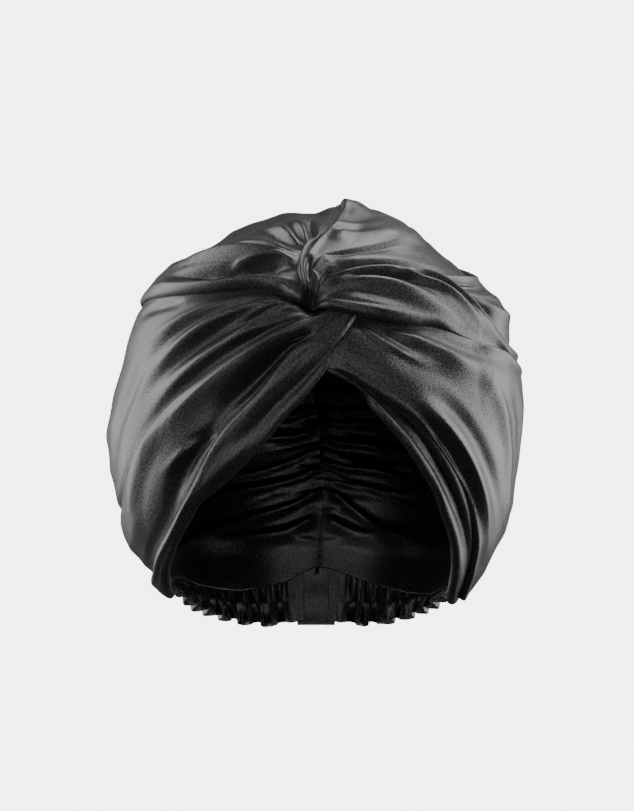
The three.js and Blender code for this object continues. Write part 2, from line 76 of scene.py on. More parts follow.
# Sections of the main form: elevation in degrees, then shares of the reach to each side
FORM_ROWS = (
    (70, 0.88, 0.93, 0.95, 0.84),
    (50, 0.92, 0.925, 0.97, 0.915),
    (30, 0.985, 0.985, 0.98, 0.975),
    (10, 0.965, 0.975, 1.0, 1.0),
    (-10, 1.035, 0.975, 1.03, 0.99),
    (-30, 1.11, 1.06, 1.089, 1.0),
    (-50, 1.212, 1.17, 1.228, 1.207),
    (-65, 1.346, 1.302, 1.386, 1.488),
)
SIDES = ("left", "right", "front", "back")


def direction(azimuth, elevation):
    """Unit vectors from the middle of the head; azimuth 0 is the face, 90 the +X side, in degrees."""
    turn = np.radians(azimuth)
    rise = np.radians(elevation)
    return np.stack([np.sin(turn) * np.cos(rise), -np.cos(turn) * np.cos(rise), np.sin(rise)], axis=-1)


TWIST_CENTRE = direction(-1.0, 33.0)
HOLE_CENTRE = direction(-1.5, 33.0)
PEAK_CENTRE = direction(90.0, 82.0)

# Round swells of the form, each its height and its radius in millimetres
TWIST_MOUND = (7.0, 34.0)
TWIST_HOLLOW = (5.0, 15.0)
TWIST_HOLE = (8.0, 5.5)
BACK_SEAM_DIP = (3.0, 16.0)
PEAK_POINT = (6.2, 13.0)
PEAK_DIMPLE = (1.6, 3.5)

# Puckers round the peak, in millimetres from it
PUCKER_COUNT = 5
PUCKER_HEIGHT = 0.45
PUCKER_RING = 8.0
PUCKER_REACH = 4.5


def smoothstep(value, low, high):
    t = np.clip((value - low) / (high - low), 0.0, 1.0)
    return t * t * (3.0 - 2.0 * t)


def bell(distance, radius):
    return np.exp(-((distance / radius) ** 2))


def raised(distance, swell):
    """Height of a round swell at a distance from its middle."""
    height, radius = swell
    return height * bell(distance, radius)


def unit(vectors):
    return vectors / (np.linalg.norm(vectors, axis=-1, keepdims=True) + 1e-12)


def spread(one, other):
    """Distance over the cloth between directions, in millimetres."""
    return np.arccos(np.clip(np.sum(one * other, axis=-1), -1.0, 1.0)) * MEAN_REACH


def side_reach(side, elevation):
    """Smooth reach to one side, through the rows of the form."""
    column = SIDES.index(side) + 1
    at = np.array([90.0] + [row[0] for row in FORM_ROWS])[::-1]
    reach = np.array([CROWN_HEIGHT] + [row[column] * REACH[side] for row in FORM_ROWS])[::-1]
    slope = np.empty_like(reach)
    slope[1:-1] = (reach[2:] - reach[:-2]) / (at[2:] - at[:-2])
    slope[0] = (reach[1] - reach[0]) / (at[1] - at[0])
    slope[-1] = 0.0
    level = np.clip(elevation, at[0], at[-1])
    k = np.clip(np.searchsorted(at, level) - 1, 0, len(at) - 2)
    span = at[k + 1] - at[k]
    t = (level - at[k]) / span
    return ((2 * t**3 - 3 * t**2 + 1) * reach[k] + (t**3 - 2 * t**2 + t) * span * slope[k]
            + (3 * t**2 - 2 * t**3) * reach[k + 1] + (t**3 - t**2) * span * slope[k + 1])


def from_back_seam(toward):
    """Distance from the back seam, which grows to FAR_FROM_SEAM on the front half."""
    behind = smoothstep(toward[..., 1], -0.1, 0.35)
    return np.hypot(toward[..., 0] * MEAN_REACH, (1.0 - behind) * FAR_FROM_SEAM)


def form_reach(toward):
    """Reach of the inner face of the cloth before any layer is added."""
    elevation = np.degrees(np.arcsin(np.clip(toward[..., 2], -1.0, 1.0)))
    flat = np.hypot(toward[..., 0], toward[..., 1]) + 1e-9
    side = np.where(toward[..., 0] < 0, side_reach("left", elevation), side_reach("right", elevation))
    depth = np.where(toward[..., 1] < 0, side_reach("front", elevation), side_reach("back", elevation))
    power = 2.0 + (ROUNDNESS - 2.0) * smoothstep(flat, 0.0, ROUND_TOP)
    across = np.abs(toward[..., 0] / flat) ** power / side**power
    along = np.abs(toward[..., 1] / flat) ** power / depth**power
    plain = (across + along) ** (-1.0 / power)
    to_twist = spread(toward, TWIST_CENTRE)
    mound = raised(to_twist, TWIST_MOUND) - raised(to_twist, TWIST_HOLLOW)
    mound = mound - raised(spread(toward, HOLE_CENTRE), TWIST_HOLE)
    return plain + mound - raised(from_back_seam(toward), BACK_SEAM_DIP)


def peak_rise(toward):
    """The gathered point over the top of the head, with its small puckers."""
    away = spread(toward, PEAK_CENTRE)
    turn = np.arctan2(toward[..., 1] - PEAK_CENTRE[1], toward[..., 0] - PEAK_CENTRE[0])
    puckers = PUCKER_HEIGHT * np.cos(PUCKER_COUNT * turn + 1.2 * np.sin(2.0 * turn))
    puckers = puckers * bell(away - PUCKER_RING, PUCKER_REACH)
    return raised(away, PEAK_POINT) - raised(away, PEAK_DIMPLE) + puckers


# Edges of the panels as azimuth and elevation in degrees, from the twist round to the back seam
CROWN_SEAM = (
    (-4.5, 49), (-1.5, 55), (4.5, 62), (12.5, 68), (25, 75), (55, 81), (90, 83), (140, 80),
    (172, 68), (180, 52), (180, 38))
TWIST_SEAM = ((-2.2, 35), (-4.6, 39.5), (-5.6, 44))
LEFT_CROWN_EDGE = (
    (-5, 49.5), (-11, 50), (-28, 53), (-51, 54), (-75, 51), (-105, 46), (-140, 40), (-179.8, 35))
LEFT_MIDDLE_EDGE = (
    (1.5, 33), (-3, 32.6), (-8, 33), (-12, 35.5), (-20, 36.5), (-38, 35), (-58, 33), (-76, 31),
    (-100, 27), (-140, 21), (-179.8, 17))
LEFT_LOWER_EDGE = (
    (5.5, 31), (-1, 27.8), (-6, 25), (-17, 20), (-28, 14), (-33, 10), (-42, 3), (-54, -9),
    (-64, -21), (-76, -29), (-95, -34), (-130, -36), (-179.8, -36))
LEFT_STRIP_EDGE = (
    (9, 29.5), (3.5, 26), (-2, 21), (-6, 19), (-16, 7), (-26, -4), (-36, -19), (-45, -29),
    (-56, -37), (-64, -42), (-77, -46))
LEFT_HEM = ((-90, -47.6), (-115, -48.8), (-145, -49), (-179.8, -49))
LEFT_OPENING_EDGE = (
    (14, 29.5), (10.5, 25), (7, 20), (3, 14), (-1, 9), (-9, -1), (-18, -12), (-27, -20), (-34, -25),
    (-45, -34.5), (-53, -41.5), (-60, -47), (-66, -50), (-77, -53.5))
RIGHT_CROWN_EDGE = (
    (-1.5, 33.4), (0.5, 36), (3, 38), (7, 40.5), (14, 42.5), (24, 43.5), (33, 43), (45, 41.5),
    (56, 40), (75, 39), (105, 38), (140, 37), (179.8, 35))
RIGHT_BACK_EDGE = (
    (51, 38.5), (57, 32), (61, 25), (67, 18.5), (80, 14.5), (110, 12), (145, 13), (179.8, 16))
RIGHT_PANEL_EDGE = (
    (-1.5, 32), (2, 30.6), (7, 29), (14, 27), (28, 25), (36, 24.5), (43, 22.5), (57, 18),
    (66, 15.5), (76, 12), (90, 8.5), (115, 5), (145, 3), (179.8, 3))
RIGHT_ROLL_EDGE = (
    (3, 14), (9, 11), (15, 7), (28, -2), (37, -11), (47, -23), (56, -36), (61, -44.5), (66, -50.5),
    (77, -52.5))
RIGHT_HEM = ((90, -48.6), (115, -48.8), (145, -49), (179.8, -49))
RIGHT_OPENING_EDGE = (
    (2, 13.5), (8, 10.5), (16, 4), (27, -9), (32, -16), (36, -23), (42, -30), (47, -36),
    (53, -44.5), (60, -51), (77, -54.5))
TWIST_LEFT_OUTLINE = (
    (2.5, 60.5), (-2, 56), (-5.5, 50), (-7, 45), (-6.6, 40.5), (-4.8, 37), (-3, 34.5))
TWIST_RIGHT_OUTLINE = (
    (3, 60), (-0.6, 55), (-3, 49.5), (-4.2, 45), (-4, 41), (-3, 38), (-2.4, 34.5))

# Panels in the order in which they are laid. A lap table says, at shares of the length, how many layers
# an edge lies above its neighbour: 1 over it, 0 beside it, -1 tucked under it.
OVER = ((0, 1), (1, 1))
UNDER = ((0, -1), (1, -1))
PANELS = {
    "crown_left": dict(
        top=CROWN_SEAM, bottom=LEFT_CROWN_EDGE, belly=1.5, size=(190, 84), pleats=(5, 1.2),
        top_lap=((0, -1), (0.8, -1), (0.92, 0), (1, 0)), bottom_lap=UNDER),
    "crown_right": dict(
        top=TWIST_SEAM + CROWN_SEAM, bottom=RIGHT_CROWN_EDGE, belly=1.5, size=(190, 84), pleats=(5, 1.2),
        top_lap=((0, 1.3), (0.82, 1.3), (0.94, 0), (1, 0)), bottom_lap=UNDER),
    "wrap_left_upper": dict(
        top=LEFT_CROWN_EDGE, bottom=LEFT_MIDDLE_EDGE, belly=3.0, size=(230, 64), pleats=(3, 2.0),
        top_lap=OVER, bottom_lap=((0, 1), (0.25, 1), (0.42, 0.7), (1, 0.7))),
    "wrap_left_middle": dict(
        top=LEFT_MIDDLE_EDGE, bottom=LEFT_LOWER_EDGE, belly=2.5, size=(230, 96), pleats=(7, 2.4),
        top_lap=UNDER, bottom_lap=UNDER),
    "wrap_left_lower": dict(
        top=LEFT_LOWER_EDGE, bottom=LEFT_STRIP_EDGE + LEFT_HEM, belly=2.5, size=(230, 70),
        pleats=(3, 1.6),
        top_lap=OVER, bottom_lap=((0, 0), (0.03, 0), (0.08, -1), (0.48, -1), (0.55, 0), (1, 0))),
    "wrap_right_back": dict(
        top=((43, 42),) + RIGHT_CROWN_EDGE[7:], bottom=((43, 40.5),) + RIGHT_BACK_EDGE, belly=3.0,
        size=(160, 56), pleats=(3, 2.0), top_lap=OVER,
        bottom_lap=((0, -1), (0.08, -1), (0.14, -0.5), (0.4, -0.5), (0.55, -1), (1, -1))),
    "wrap_right_upper": dict(
        top=RIGHT_CROWN_EDGE[:8] + RIGHT_BACK_EDGE, bottom=RIGHT_PANEL_EDGE, belly=4.0, size=(230, 60),
        pleats=(2, 1.6), top_lap=((0, 2.3), (0.2, 2), (0.3, 1.4), (0.5, 1.2), (0.6, 1), (1, 1)),
        bottom_lap=((0, 2.3), (0.12, 2.0), (0.26, 0.2), (0.3, 0), (0.42, -1), (1, -1))),
    "wrap_right_lower": dict(
        top=((9, 28),) + RIGHT_PANEL_EDGE[3:], bottom=RIGHT_ROLL_EDGE + RIGHT_HEM, belly=3.0,
        size=(230, 100), pleats=(8, 2.4),
        top_lap=((0, -1), (0.14, -1), (0.17, 0), (0.24, 0), (0.28, 1.2), (0.33, 1.6), (0.46, 1.6),
                 (0.56, 1), (1, 1)),
        bottom_lap=((0, 0.3), (0.04, 1), (0.56, 1), (0.66, 0), (1, 0))),
    "front_band_left": dict(
        top=LEFT_STRIP_EDGE, bottom=LEFT_OPENING_EDGE, belly=1.0, size=(200, 40), pleats=(0, 0.0),
        top_lap=((0, 0.75), (0.08, 1.1), (1, 1.1)),
        bottom_lap=((0, 0.75), (0.08, 1.3), (0.17, 1.5), (0.5, 0), (1, 0)),
        roll=((0, 0.35), (0.17, 0.5), (0.5, 1), (1, 1))),
    "front_band_right": dict(
        top=RIGHT_ROLL_EDGE, bottom=RIGHT_OPENING_EDGE, belly=0.5, size=(200, 32), pleats=(0, 0.0),
        top_lap=((0, 0), (0.06, 0), (0.14, -1), (1, -1)), bottom_lap=((0, 0), (1, 0)),
        roll=((0, 0.05), (0.3, 1), (0.82, 1), (1, 0.35))),
    "twist_fold": dict(
        top=TWIST_LEFT_OUTLINE, bottom=TWIST_RIGHT_OUTLINE, belly=2.6, size=(90, 40), pleats=(0, 0.0),
        top_lap=((0, 1.5), (1, 1.5)), bottom_lap=((0, 1.5), (1, 1.5))),
}

# Folds of each panel: azimuth and elevation of the three points that one follows, its width and height in
# millimetres, how crisp its crest is, and how far it leans to the right of its own way. A valley has a
# negative height.
FOLDS = {
    "crown_left": (
        (-5, 52, -20, 60, -60, 66, 9, -3, 0.5, 0.3),
        (-4.5, 53, -15, 61.5, -48, 70, 7, 2.4, 0.6, 0),
        (-4, 54, -13, 64.5, -40, 75, 7, -3.4, 0.5, 0),
        (-3, 55, -9, 66, -28, 77, 5, 2.6, 0.7, 0),
        (-2, 56.5, -5, 68, -14, 80, 5, -2.4, 0.5, 0),
        (-6, 51, -22, 55, -60, 56, 9, 1.8, 0.4, 0),
    ),
    "crown_right": (
        (1, 47.5, 24, 51, 56, 53, 4, -1.8, 0.9, -0.5),
        (12, 61.5, 23, 63.5, 40, 61, 8, -2.2, 0, 0),
        (8, 45, 25, 46.5, 57, 42.5, 8, 1.8, 0.4, 0),
        (-2.5, 48, -3.2, 43, -2, 37, 4, -3.4, 0.5, 0),
        (4.5, 47.5, 1, 45, -1.8, 41, 3.6, 3.2, 0.9, 0.4),
        (-1.8, 42, 0.6, 39, 0, 35, 3, 2.6, 0.9, 0),
        (6, 43.5, 3, 41, 1, 37, 3.4, -2.4, 0.6, 0),
        (9, 54, 16, 61, 27, 69, 9, 1.4, 0.2, 0),
        (30, 56, 60, 58, 95, 60, 12, 1.8, 0.2, 0),
        (20, 66, 50, 70, 90, 68, 12, -1.4, 0.2, 0),
    ),
    "wrap_left_upper": (
        (-7, 47, -29, 49.5, -76, 41, 9, 4.2, 0.7, 0.5),
        (-8, 42, -24, 43, -38, 39.5, 8, -6, 0.4, 0.2),
        (-30, 43, -42, 40.5, -62, 37, 8, -4.2, 0.4, 0.2),
        (-8, 45.5, -23, 46, -38, 41, 3, 2.6, 0.9, 0),
        (-7, 38, -19, 38.5, -33, 37.5, 5, 2.2, 0.5, 0),
        (-16, 38, -47, 36.5, -90, 31, 7, 2.2, 0.5, 0),
    ),
    "wrap_left_middle": (
        (-10, 34, -34, 30, -62, 15, 7, 2, 0.7, 0.2),
        (-13, 33, -35, 28, -56, 12, 6, -2.6, 0.5, 0),
        (-10, 32, -30, 27, -54, 8, 6, 2.2, 0.7, 0.2),
        (-11, 30.5, -30, 22.5, -54, 4, 9, -4.8, 0.5, 0),
        (-5, 31.5, -17, 30, -42, 13, 3.5, 1.6, 0.9, 0),
        (-3, 30.5, -12, 29.5, -26, 21, 6, 3.2, 1, 0.6),
        (-2, 29, -14, 23.5, -33, 12, 4.5, -3.2, 0.7, 0),
        (-9, 26, -32, 16, -54, -4, 12, 2.6, 0.2, 0),
        (-47, 32, -60, 30, -72, 26, 8, -2.4, 0.4, 0),
        (-56, 16, -65, 0, -76, -18, 11, -1.5, 0.2, 0),
    ),
    "wrap_left_lower": (
        (-2, 26, -24, 13, -58, -15, 9, 3.4, 0.6, 0.4),
        (1, 24, -13, 13, -29, -5, 10, -8, 0.5, 0),
        (-21, -2, -28, -5.5, -36, -8, 6, -3.6, 0.4, 0),
        (-24, -4, -35, -12, -44, -28, 8, -3.6, 0.4, 0),
        (-24, -3.5, -31, -6, -44, -15, 5, 2.6, 0.8, 0.3),
        (-44, -2, -56, -18, -66, -35, 10, 1.8, 0.3, 0),
    ),
    "wrap_right_back": (
        (48, 39.5, 72, 35, 110, 31, 9, -4.6, 0.5, 0),
        (60, 30, 73, 25, 96, 23, 7, 2.4, 0.6, 0),
    ),
    "wrap_right_upper": (
        (0, 35, 11, 40.3, 34, 41.5, 3, 2.4, 1, 0),
        (9, 38.5, 24, 39, 43, 32, 6, -5.6, 0.6, 0.3),
        (4, 35, 24, 36, 46, 24, 10, 2.6, 0.3, -0.3),
        (24, 40.5, 41, 36.5, 56, 23, 4, 2.4, 0.8, 0),
        (34, 40.5, 48, 36, 59, 25, 7, -5.6, 0.5, 0),
        (3, 32.2, 18, 28.6, 36, 26, 3, 1.4, 0.9, 0),
        (10, 33.5, 24, 32, 40, 26, 6, -1.4, 0.3, 0),
    ),
    "wrap_right_lower": (
        (12, 26.5, 21, 19, 34, 12, 4, 1.4, 0.8, 0.3),
        (14, 27, 26, 19.5, 42, 15, 6, -1.3, 0.4, 0),
        (22, 23.5, 36, 18, 50, 9, 8, 1.5, 0.5, 0.2),
        (28, 23, 44, 18, 62, 12, 6, -1.4, 0.4, 0),
        (35, 16, 50, 11, 72, 5, 10, 1.4, 0.3, 0),
        (20, 16, 34, 11, 52, -2, 11, -1.2, 0.2, 0),
        (24, 7, 44, -12, 65, -38, 7, 3, 0.6, 0.2),
        (30, 8, 50, -11, 70, -36, 7, -1.6, 0.3, 0),
        (26, 0, 42, -16, 60, -42, 6, -4.5, 0.4, 0),
        (48, 12, 62, -8, 73, -36, 8, 1.4, 0.4, 0),
        (62, 6, 77, -10, 84, -34, 9, -1.3, 0.2, 0),
    ),
    "front_band_left": (
        (6, 24, -9, 11, -32, -14, 6, 1.8, 0.5, 0.4),
        (9, 22, -4, 10, -24, -10, 5, -1.6, 0.4, 0),
        (-14, -4, -30, -17, -48, -31, 7, 1.2, 0.3, 0),
    ),
    "front_band_right": (
        (14, 7.5, 35, -13, 60, -43, 5, -4.5, 0.3, 0),
        (6, 12.5, 28, -9, 57, -45, 3, 1.6, 0.8, 0),
    ),
    "twist_fold": (
        (0, 57, -5, 47, -3.5, 37, 3.5, 1.6, 0.8, 0),
        (3, 54, -1, 46, -2.5, 38, 2.5, -1.6, 0.6, 0),
    ),
}


# Points to each span of an edge and to each fold
STEPS_PER_KNOT = 24
STEPS_PER_FOLD = 140

# How blunt the sharpest crest is, and how folds narrow near the twist, in millimetres and as shares
BLUNT_CREST = 0.9
NARROWED_AT_TWIST = 0.4
TWIST_GATHER = (5.0, 45.0)
LEAN_SHARE = 0.6


def running_length(points, power=1.0):
    """Length along a line of points up to each of them, with each step raised to a power."""
    steps = np.linalg.norm(np.diff(points, axis=0), axis=1)
    return np.concatenate([[0.0], np.cumsum(steps**power)])


def value_at(table, share):
    """Value of a table of (share, value) pairs, with straight lines between the pairs."""
    return np.interp(share, [pair[0] for pair in table], [pair[1] for pair in table])


def between(time, start, stop, one, other):
    """Point between two points, by how far a time lies between their times."""
    return (stop - time) / (stop - start) * one + (time - start) / (stop - start) * other


def edge_line(points, shares):
    """Smooth line of directions through azimuths and elevations, at shares of its length."""
    knots = direction(*np.array(points, float).T)
    knots = np.vstack([2 * knots[0] - knots[1], knots, 2 * knots[-1] - knots[-2]])
    times = running_length(knots, 0.5)
    dense = []
    for k in range(1, len(knots) - 2):
        last = k == len(knots) - 3
        time = np.linspace(times[k], times[k + 1], STEPS_PER_KNOT, endpoint=last)[:, None]
        spans = [between(time, times[j], times[j + 1], knots[j], knots[j + 1]) for j in (k - 1, k, k + 1)]
        early = between(time, times[k - 1], times[k + 1], spans[0], spans[1])
        late = between(time, times[k], times[k + 2], spans[1], spans[2])
        dense.append(between(time, times[k], times[k + 1], early, late))
    dense = np.vstack(dense)
    length = running_length(dense)
    at = shares * length[-1]
    return unit(np.stack([np.interp(at, length, dense[:, c]) for c in range(3)], axis=-1))


def crest(distance, width, crisp):
    """Section of a fold: 1 on its line, 0 from its width on, round or pinched."""
    x = np.clip(np.abs(distance) / width, 0.0, 1.0)
    rounded = 0.5 * (1.0 + np.cos(np.pi * x))
    blunt = np.minimum(BLUNT_CREST / width, 0.5)
    pinched = np.clip(1.0 - np.sqrt(x * x + blunt * blunt), 0.0, 1.0) ** 2 / (1.0 - blunt) ** 2
    return rounded * (1.0 - crisp) + pinched * crisp


def fold_height(toward, folds):
    """Sum of the folds of a panel at each direction, in millimetres."""
    height = np.zeros(toward.shape[:-1])
    flat = toward.reshape(-1, 3)
    opened = smoothstep(spread(flat, HOLE_CENTRE), *TWIST_GATHER)
    gathered = NARROWED_AT_TWIST + (1.0 - NARROWED_AT_TWIST) * opened
    for fold in folds:
        width, rise, crisp, lean = fold[6:]
        first, second, third = direction(*np.array(fold[:6], float).reshape(3, 2).T)
        t = np.linspace(0.0, 1.0, STEPS_PER_FOLD)[:, None]
        bend = 2.0 * second - 0.5 * first - 0.5 * third
        line = unit((1 - t) ** 2 * first + 2 * t * (1 - t) * bend + t * t * third)
        tangent = unit(np.gradient(line, axis=0))
        nearest = np.argmax(flat @ line.T, axis=1)
        offset = flat - line[nearest]
        forward = np.sum(offset * tangent[nearest], axis=1)
        sideways = np.cross(tangent[nearest], line[nearest])
        distance = np.sum(offset * sideways, axis=1) * MEAN_REACH
        step = np.linalg.norm(line[1] - line[0])
        along = (nearest + forward / step) / (len(line) - 1)
        leaning = np.where(distance > 0, 1.0 - LEAN_SHARE * lean, 1.0 + LEAN_SHARE * lean)
        fade = smoothstep(along, -0.05, 0.28) * smoothstep(along, 1.08, 0.5)
        section = crest(distance, width * leaning * gathered, crisp)
        height += (rise * section * fade * gathered).reshape(height.shape)
    return height


# How far the folds keep from an edge, how the rows crowd towards it, and the cloth's small ripples
FOLD_RAMP = 8.0
EDGE_CROWDING = 0.11
RIPPLE_HEIGHT = 0.12
RIPPLE_PITCH = 3.4
SIGN = {"left": -1.0, "right": 1.0}

# How far each side's edge at the back seam is carried to the right and sunk, in millimetres
SEAM_TUCK = {"left": (2.4, 3.6), "right": (0.0, 1.2), "lining": (-2.4, -2.4)}


def long_pleats(share, across, width, count, depth, seed):
    """Pleats that run the length of a panel towards the back seam, growing out of the front."""
    if count == 0:
        return np.zeros_like(across)
    random = np.random.default_rng(seed)
    height = np.zeros_like(across)
    for k in range(count):
        middle = (k + 0.5 + random.uniform(-0.25, 0.25)) / count
        drift = random.uniform(-0.5, 0.5) / count
        phase = random.uniform(0.0, 6.28)
        line = middle + drift * (share - 0.6) + 0.12 / count * np.sin(5.0 * share + phase)
        distance = (across - line) * width
        reach = width / count * random.uniform(0.5, 0.75) + 2.0
        start = random.uniform(0.36, 0.55)
        grown = smoothstep(share, start, start + 0.25)
        rise = depth * random.uniform(0.5, 1.0)
        height += rise * crest(distance, reach, random.uniform(0.3, 0.8)) * grown
    return height


def seam_gathers(share, across, width, length, seed, pitch=6.5, depth=2.2):
    """Fine gathers that run out from the back seam and die away at uneven lengths."""
    random = np.random.default_rng(seed)
    count = int(np.max(width[-1]) / pitch)
    from_seam = (1.0 - share) * length
    height = np.zeros_like(across)
    for k in range(count):
        middle = (k + 0.5 + random.uniform(-0.3, 0.3)) / count
        bend = random.uniform(-0.02, 0.02)
        reach = random.uniform(16.0, 60.0)
        line = middle + bend * smoothstep(from_seam, 0.0, 50.0)
        distance = (across - line) * width
        grown = bell(from_seam, reach) * smoothstep(from_seam, -1.0, 3.0)
        height += depth * random.uniform(0.5, 1.2) * crest(distance, pitch * 0.62, 0.5) * grown
    return height


def grid_normals(points, centre):
    along = np.gradient(points, axis=0)
    across = np.gradient(points, axis=1)
    normals = unit(np.cross(along, across))
    outward = np.sum(normals * (points - centre), axis=-1)
    return normals * np.where(np.median(outward) < 0, -1.0, 1.0)


def soften(grid, passes):
    """Averages a grid of vectors with its neighbours."""
    for _ in range(passes):
        padded = np.pad(grid, ((1, 1), (1, 1), (0, 0)), mode="edge")
        beside = padded[1:-1, :-2] + padded[1:-1, 2:] + padded[:-2, 1:-1] + padded[2:, 1:-1]
        grid = (beside + 2 * grid) / 6
    return grid


def end_caps(index, rows, rim_steps):
    """Faces that close the two ends of a wall, from the numbers of its points."""
    around = index.shape[1]
    opposite = 2 * rows + rim_steps - 1 - np.arange(rows)
    faces = []
    for ring, turned in ((index[0], False), (index[-1], True)):
        front, back = ring[:rows], ring[opposite]
        quads = np.stack([front[:-1], front[1:], back[1:], back[:-1]], axis=-1)
        faces += (quads[:, [0, 3, 2, 1]] if turned else quads).tolist()
        for first in (rows - 1, around - 1 - rim_steps):
            rim = ring[(first + np.arange(rim_steps + 2)) % around].tolist()
            faces.append(rim[::-1] if turned else rim)
    return faces


def map_cloth(mesh, outer, rim_steps):
    """Lays the mesh out flat in centimetres, along the panel and round its section."""
    lengths = running_length(outer[:, outer.shape[1] // 2])
    steps = np.diff(outer, axis=1, prepend=outer[:, :1])
    girth = np.cumsum(np.linalg.norm(steps, axis=-1), axis=1)
    turned_rim = np.repeat(girth[:, -1:], rim_steps, axis=1)
    folded = np.concatenate([girth, turned_rim, girth[:, ::-1], 0.0 * turned_rim], axis=1)
    place = np.stack([np.broadcast_to(lengths[:, None], folded.shape), folded], axis=-1).reshape(-1, 2)
    layer = mesh.uv_layers.new(name="cloth")
    corners = np.empty(len(mesh.loops), dtype=np.int32)
    mesh.loops.foreach_get("vertex_index", corners)
    layer.data.foreach_set("uv", (place / 10.0)[corners].astype(np.float32).ravel())


def wall_object(name, outer, normals, wall, rim_steps=4):
    """Closed cloth wall behind a grid of outer points, with round rims, and its map in centimetres."""
    stations, rows = outer.shape[:2]
    inner = outer - wall * unit(soften(normals, 3))
    ring = [outer[:, j] for j in range(rows)]
    for edge, inside in ((-1, -2), (0, 1)):
        beyond = unit(outer[:, edge] - outer[:, inside])
        middle = (outer[:, edge] + inner[:, edge]) / 2
        up = outer[:, edge] - middle
        half = np.linalg.norm(up, axis=1, keepdims=True)
        turns = np.linspace(0.0, np.pi, rim_steps + 2)[1:-1]
        if edge == 0:
            turns = turns[::-1]
        ring += [middle + up * np.cos(turn) + beyond * half * np.sin(turn) for turn in turns]
        if edge == -1:
            ring += [inner[:, j] for j in range(rows - 1, -1, -1)]
    points = np.stack(ring, axis=1)
    index = np.arange(stations * len(ring)).reshape(stations, len(ring))
    following = np.roll(index, -1, axis=1)
    faces = np.stack([index[:-1], following[:-1], following[1:], index[1:]], axis=-1).reshape(-1, 4)
    polygons = faces.tolist() + end_caps(index, rows, rim_steps)
    mesh = bpy.data.meshes.new(name)
    mesh.from_pydata((points.reshape(-1, 3) * MILLIMETRE).tolist(), [], polygons)
    map_cloth(mesh, outer, rim_steps)
    mesh.polygons.foreach_set("use_smooth", np.ones(len(mesh.polygons), dtype=bool))
    mesh.update()
    if signed_volume(mesh) < 0:
        mesh.flip_normals()
    obj = bpy.data.objects.new(name, mesh)
    obj["flat"] = flat_cut(outer)
    return obj


def flat_cut(outer):
    """Width, length and area, in metres, of a grid of points when its cloth is smoothed flat."""
    across = np.linalg.norm(np.diff(outer, axis=1), axis=-1).sum(axis=1).max()
    along = np.linalg.norm(np.diff(outer, axis=0), axis=-1).sum(axis=0).max()
    one, other = outer[1:, 1:] - outer[:-1, :-1], outer[1:, :-1] - outer[:-1, 1:]
    area = 0.5 * np.linalg.norm(np.cross(one, other), axis=-1).sum()
    return [across * MILLIMETRE, along * MILLIMETRE, area * MILLIMETRE**2]


def vertex_places(mesh):
    places = np.empty(len(mesh.vertices) * 3)
    mesh.vertices.foreach_get("co", places)
    return places.reshape(-1, 3)


def signed_volume(mesh):
    mesh.calc_loop_triangles()
    corners = np.empty(len(mesh.loop_triangles) * 3, dtype=np.int32)
    mesh.loop_triangles.foreach_get("vertices", corners)
    first, second, third = vertex_places(mesh)[corners.reshape(-1, 3)].transpose(1, 0, 2)
    return float(np.sum(first * np.cross(second, third)))


def folded_edge(distance, lap, radius=2.2, swell=1.3, reach=2.4):
    """The round turn of a pleat along an edge that lies over its neighbour."""
    over = smoothstep(lap, 0.3, 0.9)
    inward = np.clip(1.0 - distance / radius, 0.0, 1.0)
    turn = radius * (1.0 - np.sqrt(np.clip(1.0 - inward * inward, 0.0, 1.0)))
    return over * (swell * bell(distance - radius, reach) - turn)


def tucked_seam(outer, toward, shift, drop, reach=2.3):
    """Sinks a piece's edge at the back seam and carries it on to one side, which leaves no slit."""
    behind = smoothstep(toward[..., 1], 0.3, 0.5) * smoothstep(toward[..., 2], 0.8, 0.7)
    tuck = bell(outer[..., 0], reach) * behind
    moved = outer - toward * (drop * tuck)[..., None]
    moved[..., 0] += shift * tuck
    return moved


def clear_of(lap, share):
    """Share of the folds that is left near an edge, more of it where the edge lies on top."""
    return smoothstep(np.where(lap > 0, share + 0.3, share), 0.0, 1.0)


def tucked(lap, width):
    """Share of a panel's width that is tucked under its neighbour."""
    return np.minimum(np.maximum(-lap, 0) * LAP_WIDTH, 0.4 * width) / width


def lifted(lap, distance, broad):
    """Layers that an edge is raised by, fading out across the panel."""
    return np.maximum(lap, 0) * (1 - smoothstep(distance, LAP_WIDTH, broad))


def panel_relief(name, toward, across, share, size, laps, depth_scale):
    """Folds, belly, turned edges and ripples of a panel, in millimetres out from its plain form."""
    panel = PANELS[name]
    width, length = size
    top_lap, bottom_lap = laps
    seed = sorted(PANELS).index(name)
    inside = np.clip(across, 0.0, 1.0)
    from_top = inside * width
    from_bottom = (1 - inside) * width
    settled = smoothstep(share, 0.0, 0.02)
    ramp = np.minimum(FOLD_RAMP, 0.35 * width)
    open_cloth = clear_of(top_lap, from_top / ramp) * clear_of(bottom_lap, from_bottom / ramp)
    count, depth = panel["pleats"]
    relief = fold_height(toward, FOLDS[name])
    relief = relief + long_pleats(share, across, width, count, depth, seed)
    if count:
        relief = relief + seam_gathers(share, across, width, length, seed + 50)
    relief = relief * open_cloth * settled * depth_scale
    belly = panel["belly"] * smoothstep(width, 5.0, 45.0) * np.sin(np.pi * inside)
    relief = relief + belly * open_cloth * settled
    turned_under = folded_edge(from_top, top_lap)
    if "roll" not in panel:
        turned_under = turned_under + folded_edge(from_bottom, bottom_lap)
    relief = relief + turned_under * settled
    waves = np.sin(across * width / RIPPLE_PITCH + 1.5 * np.sin(share * 7.0 + seed))
    return relief + RIPPLE_HEIGHT * waves * open_cloth * settled


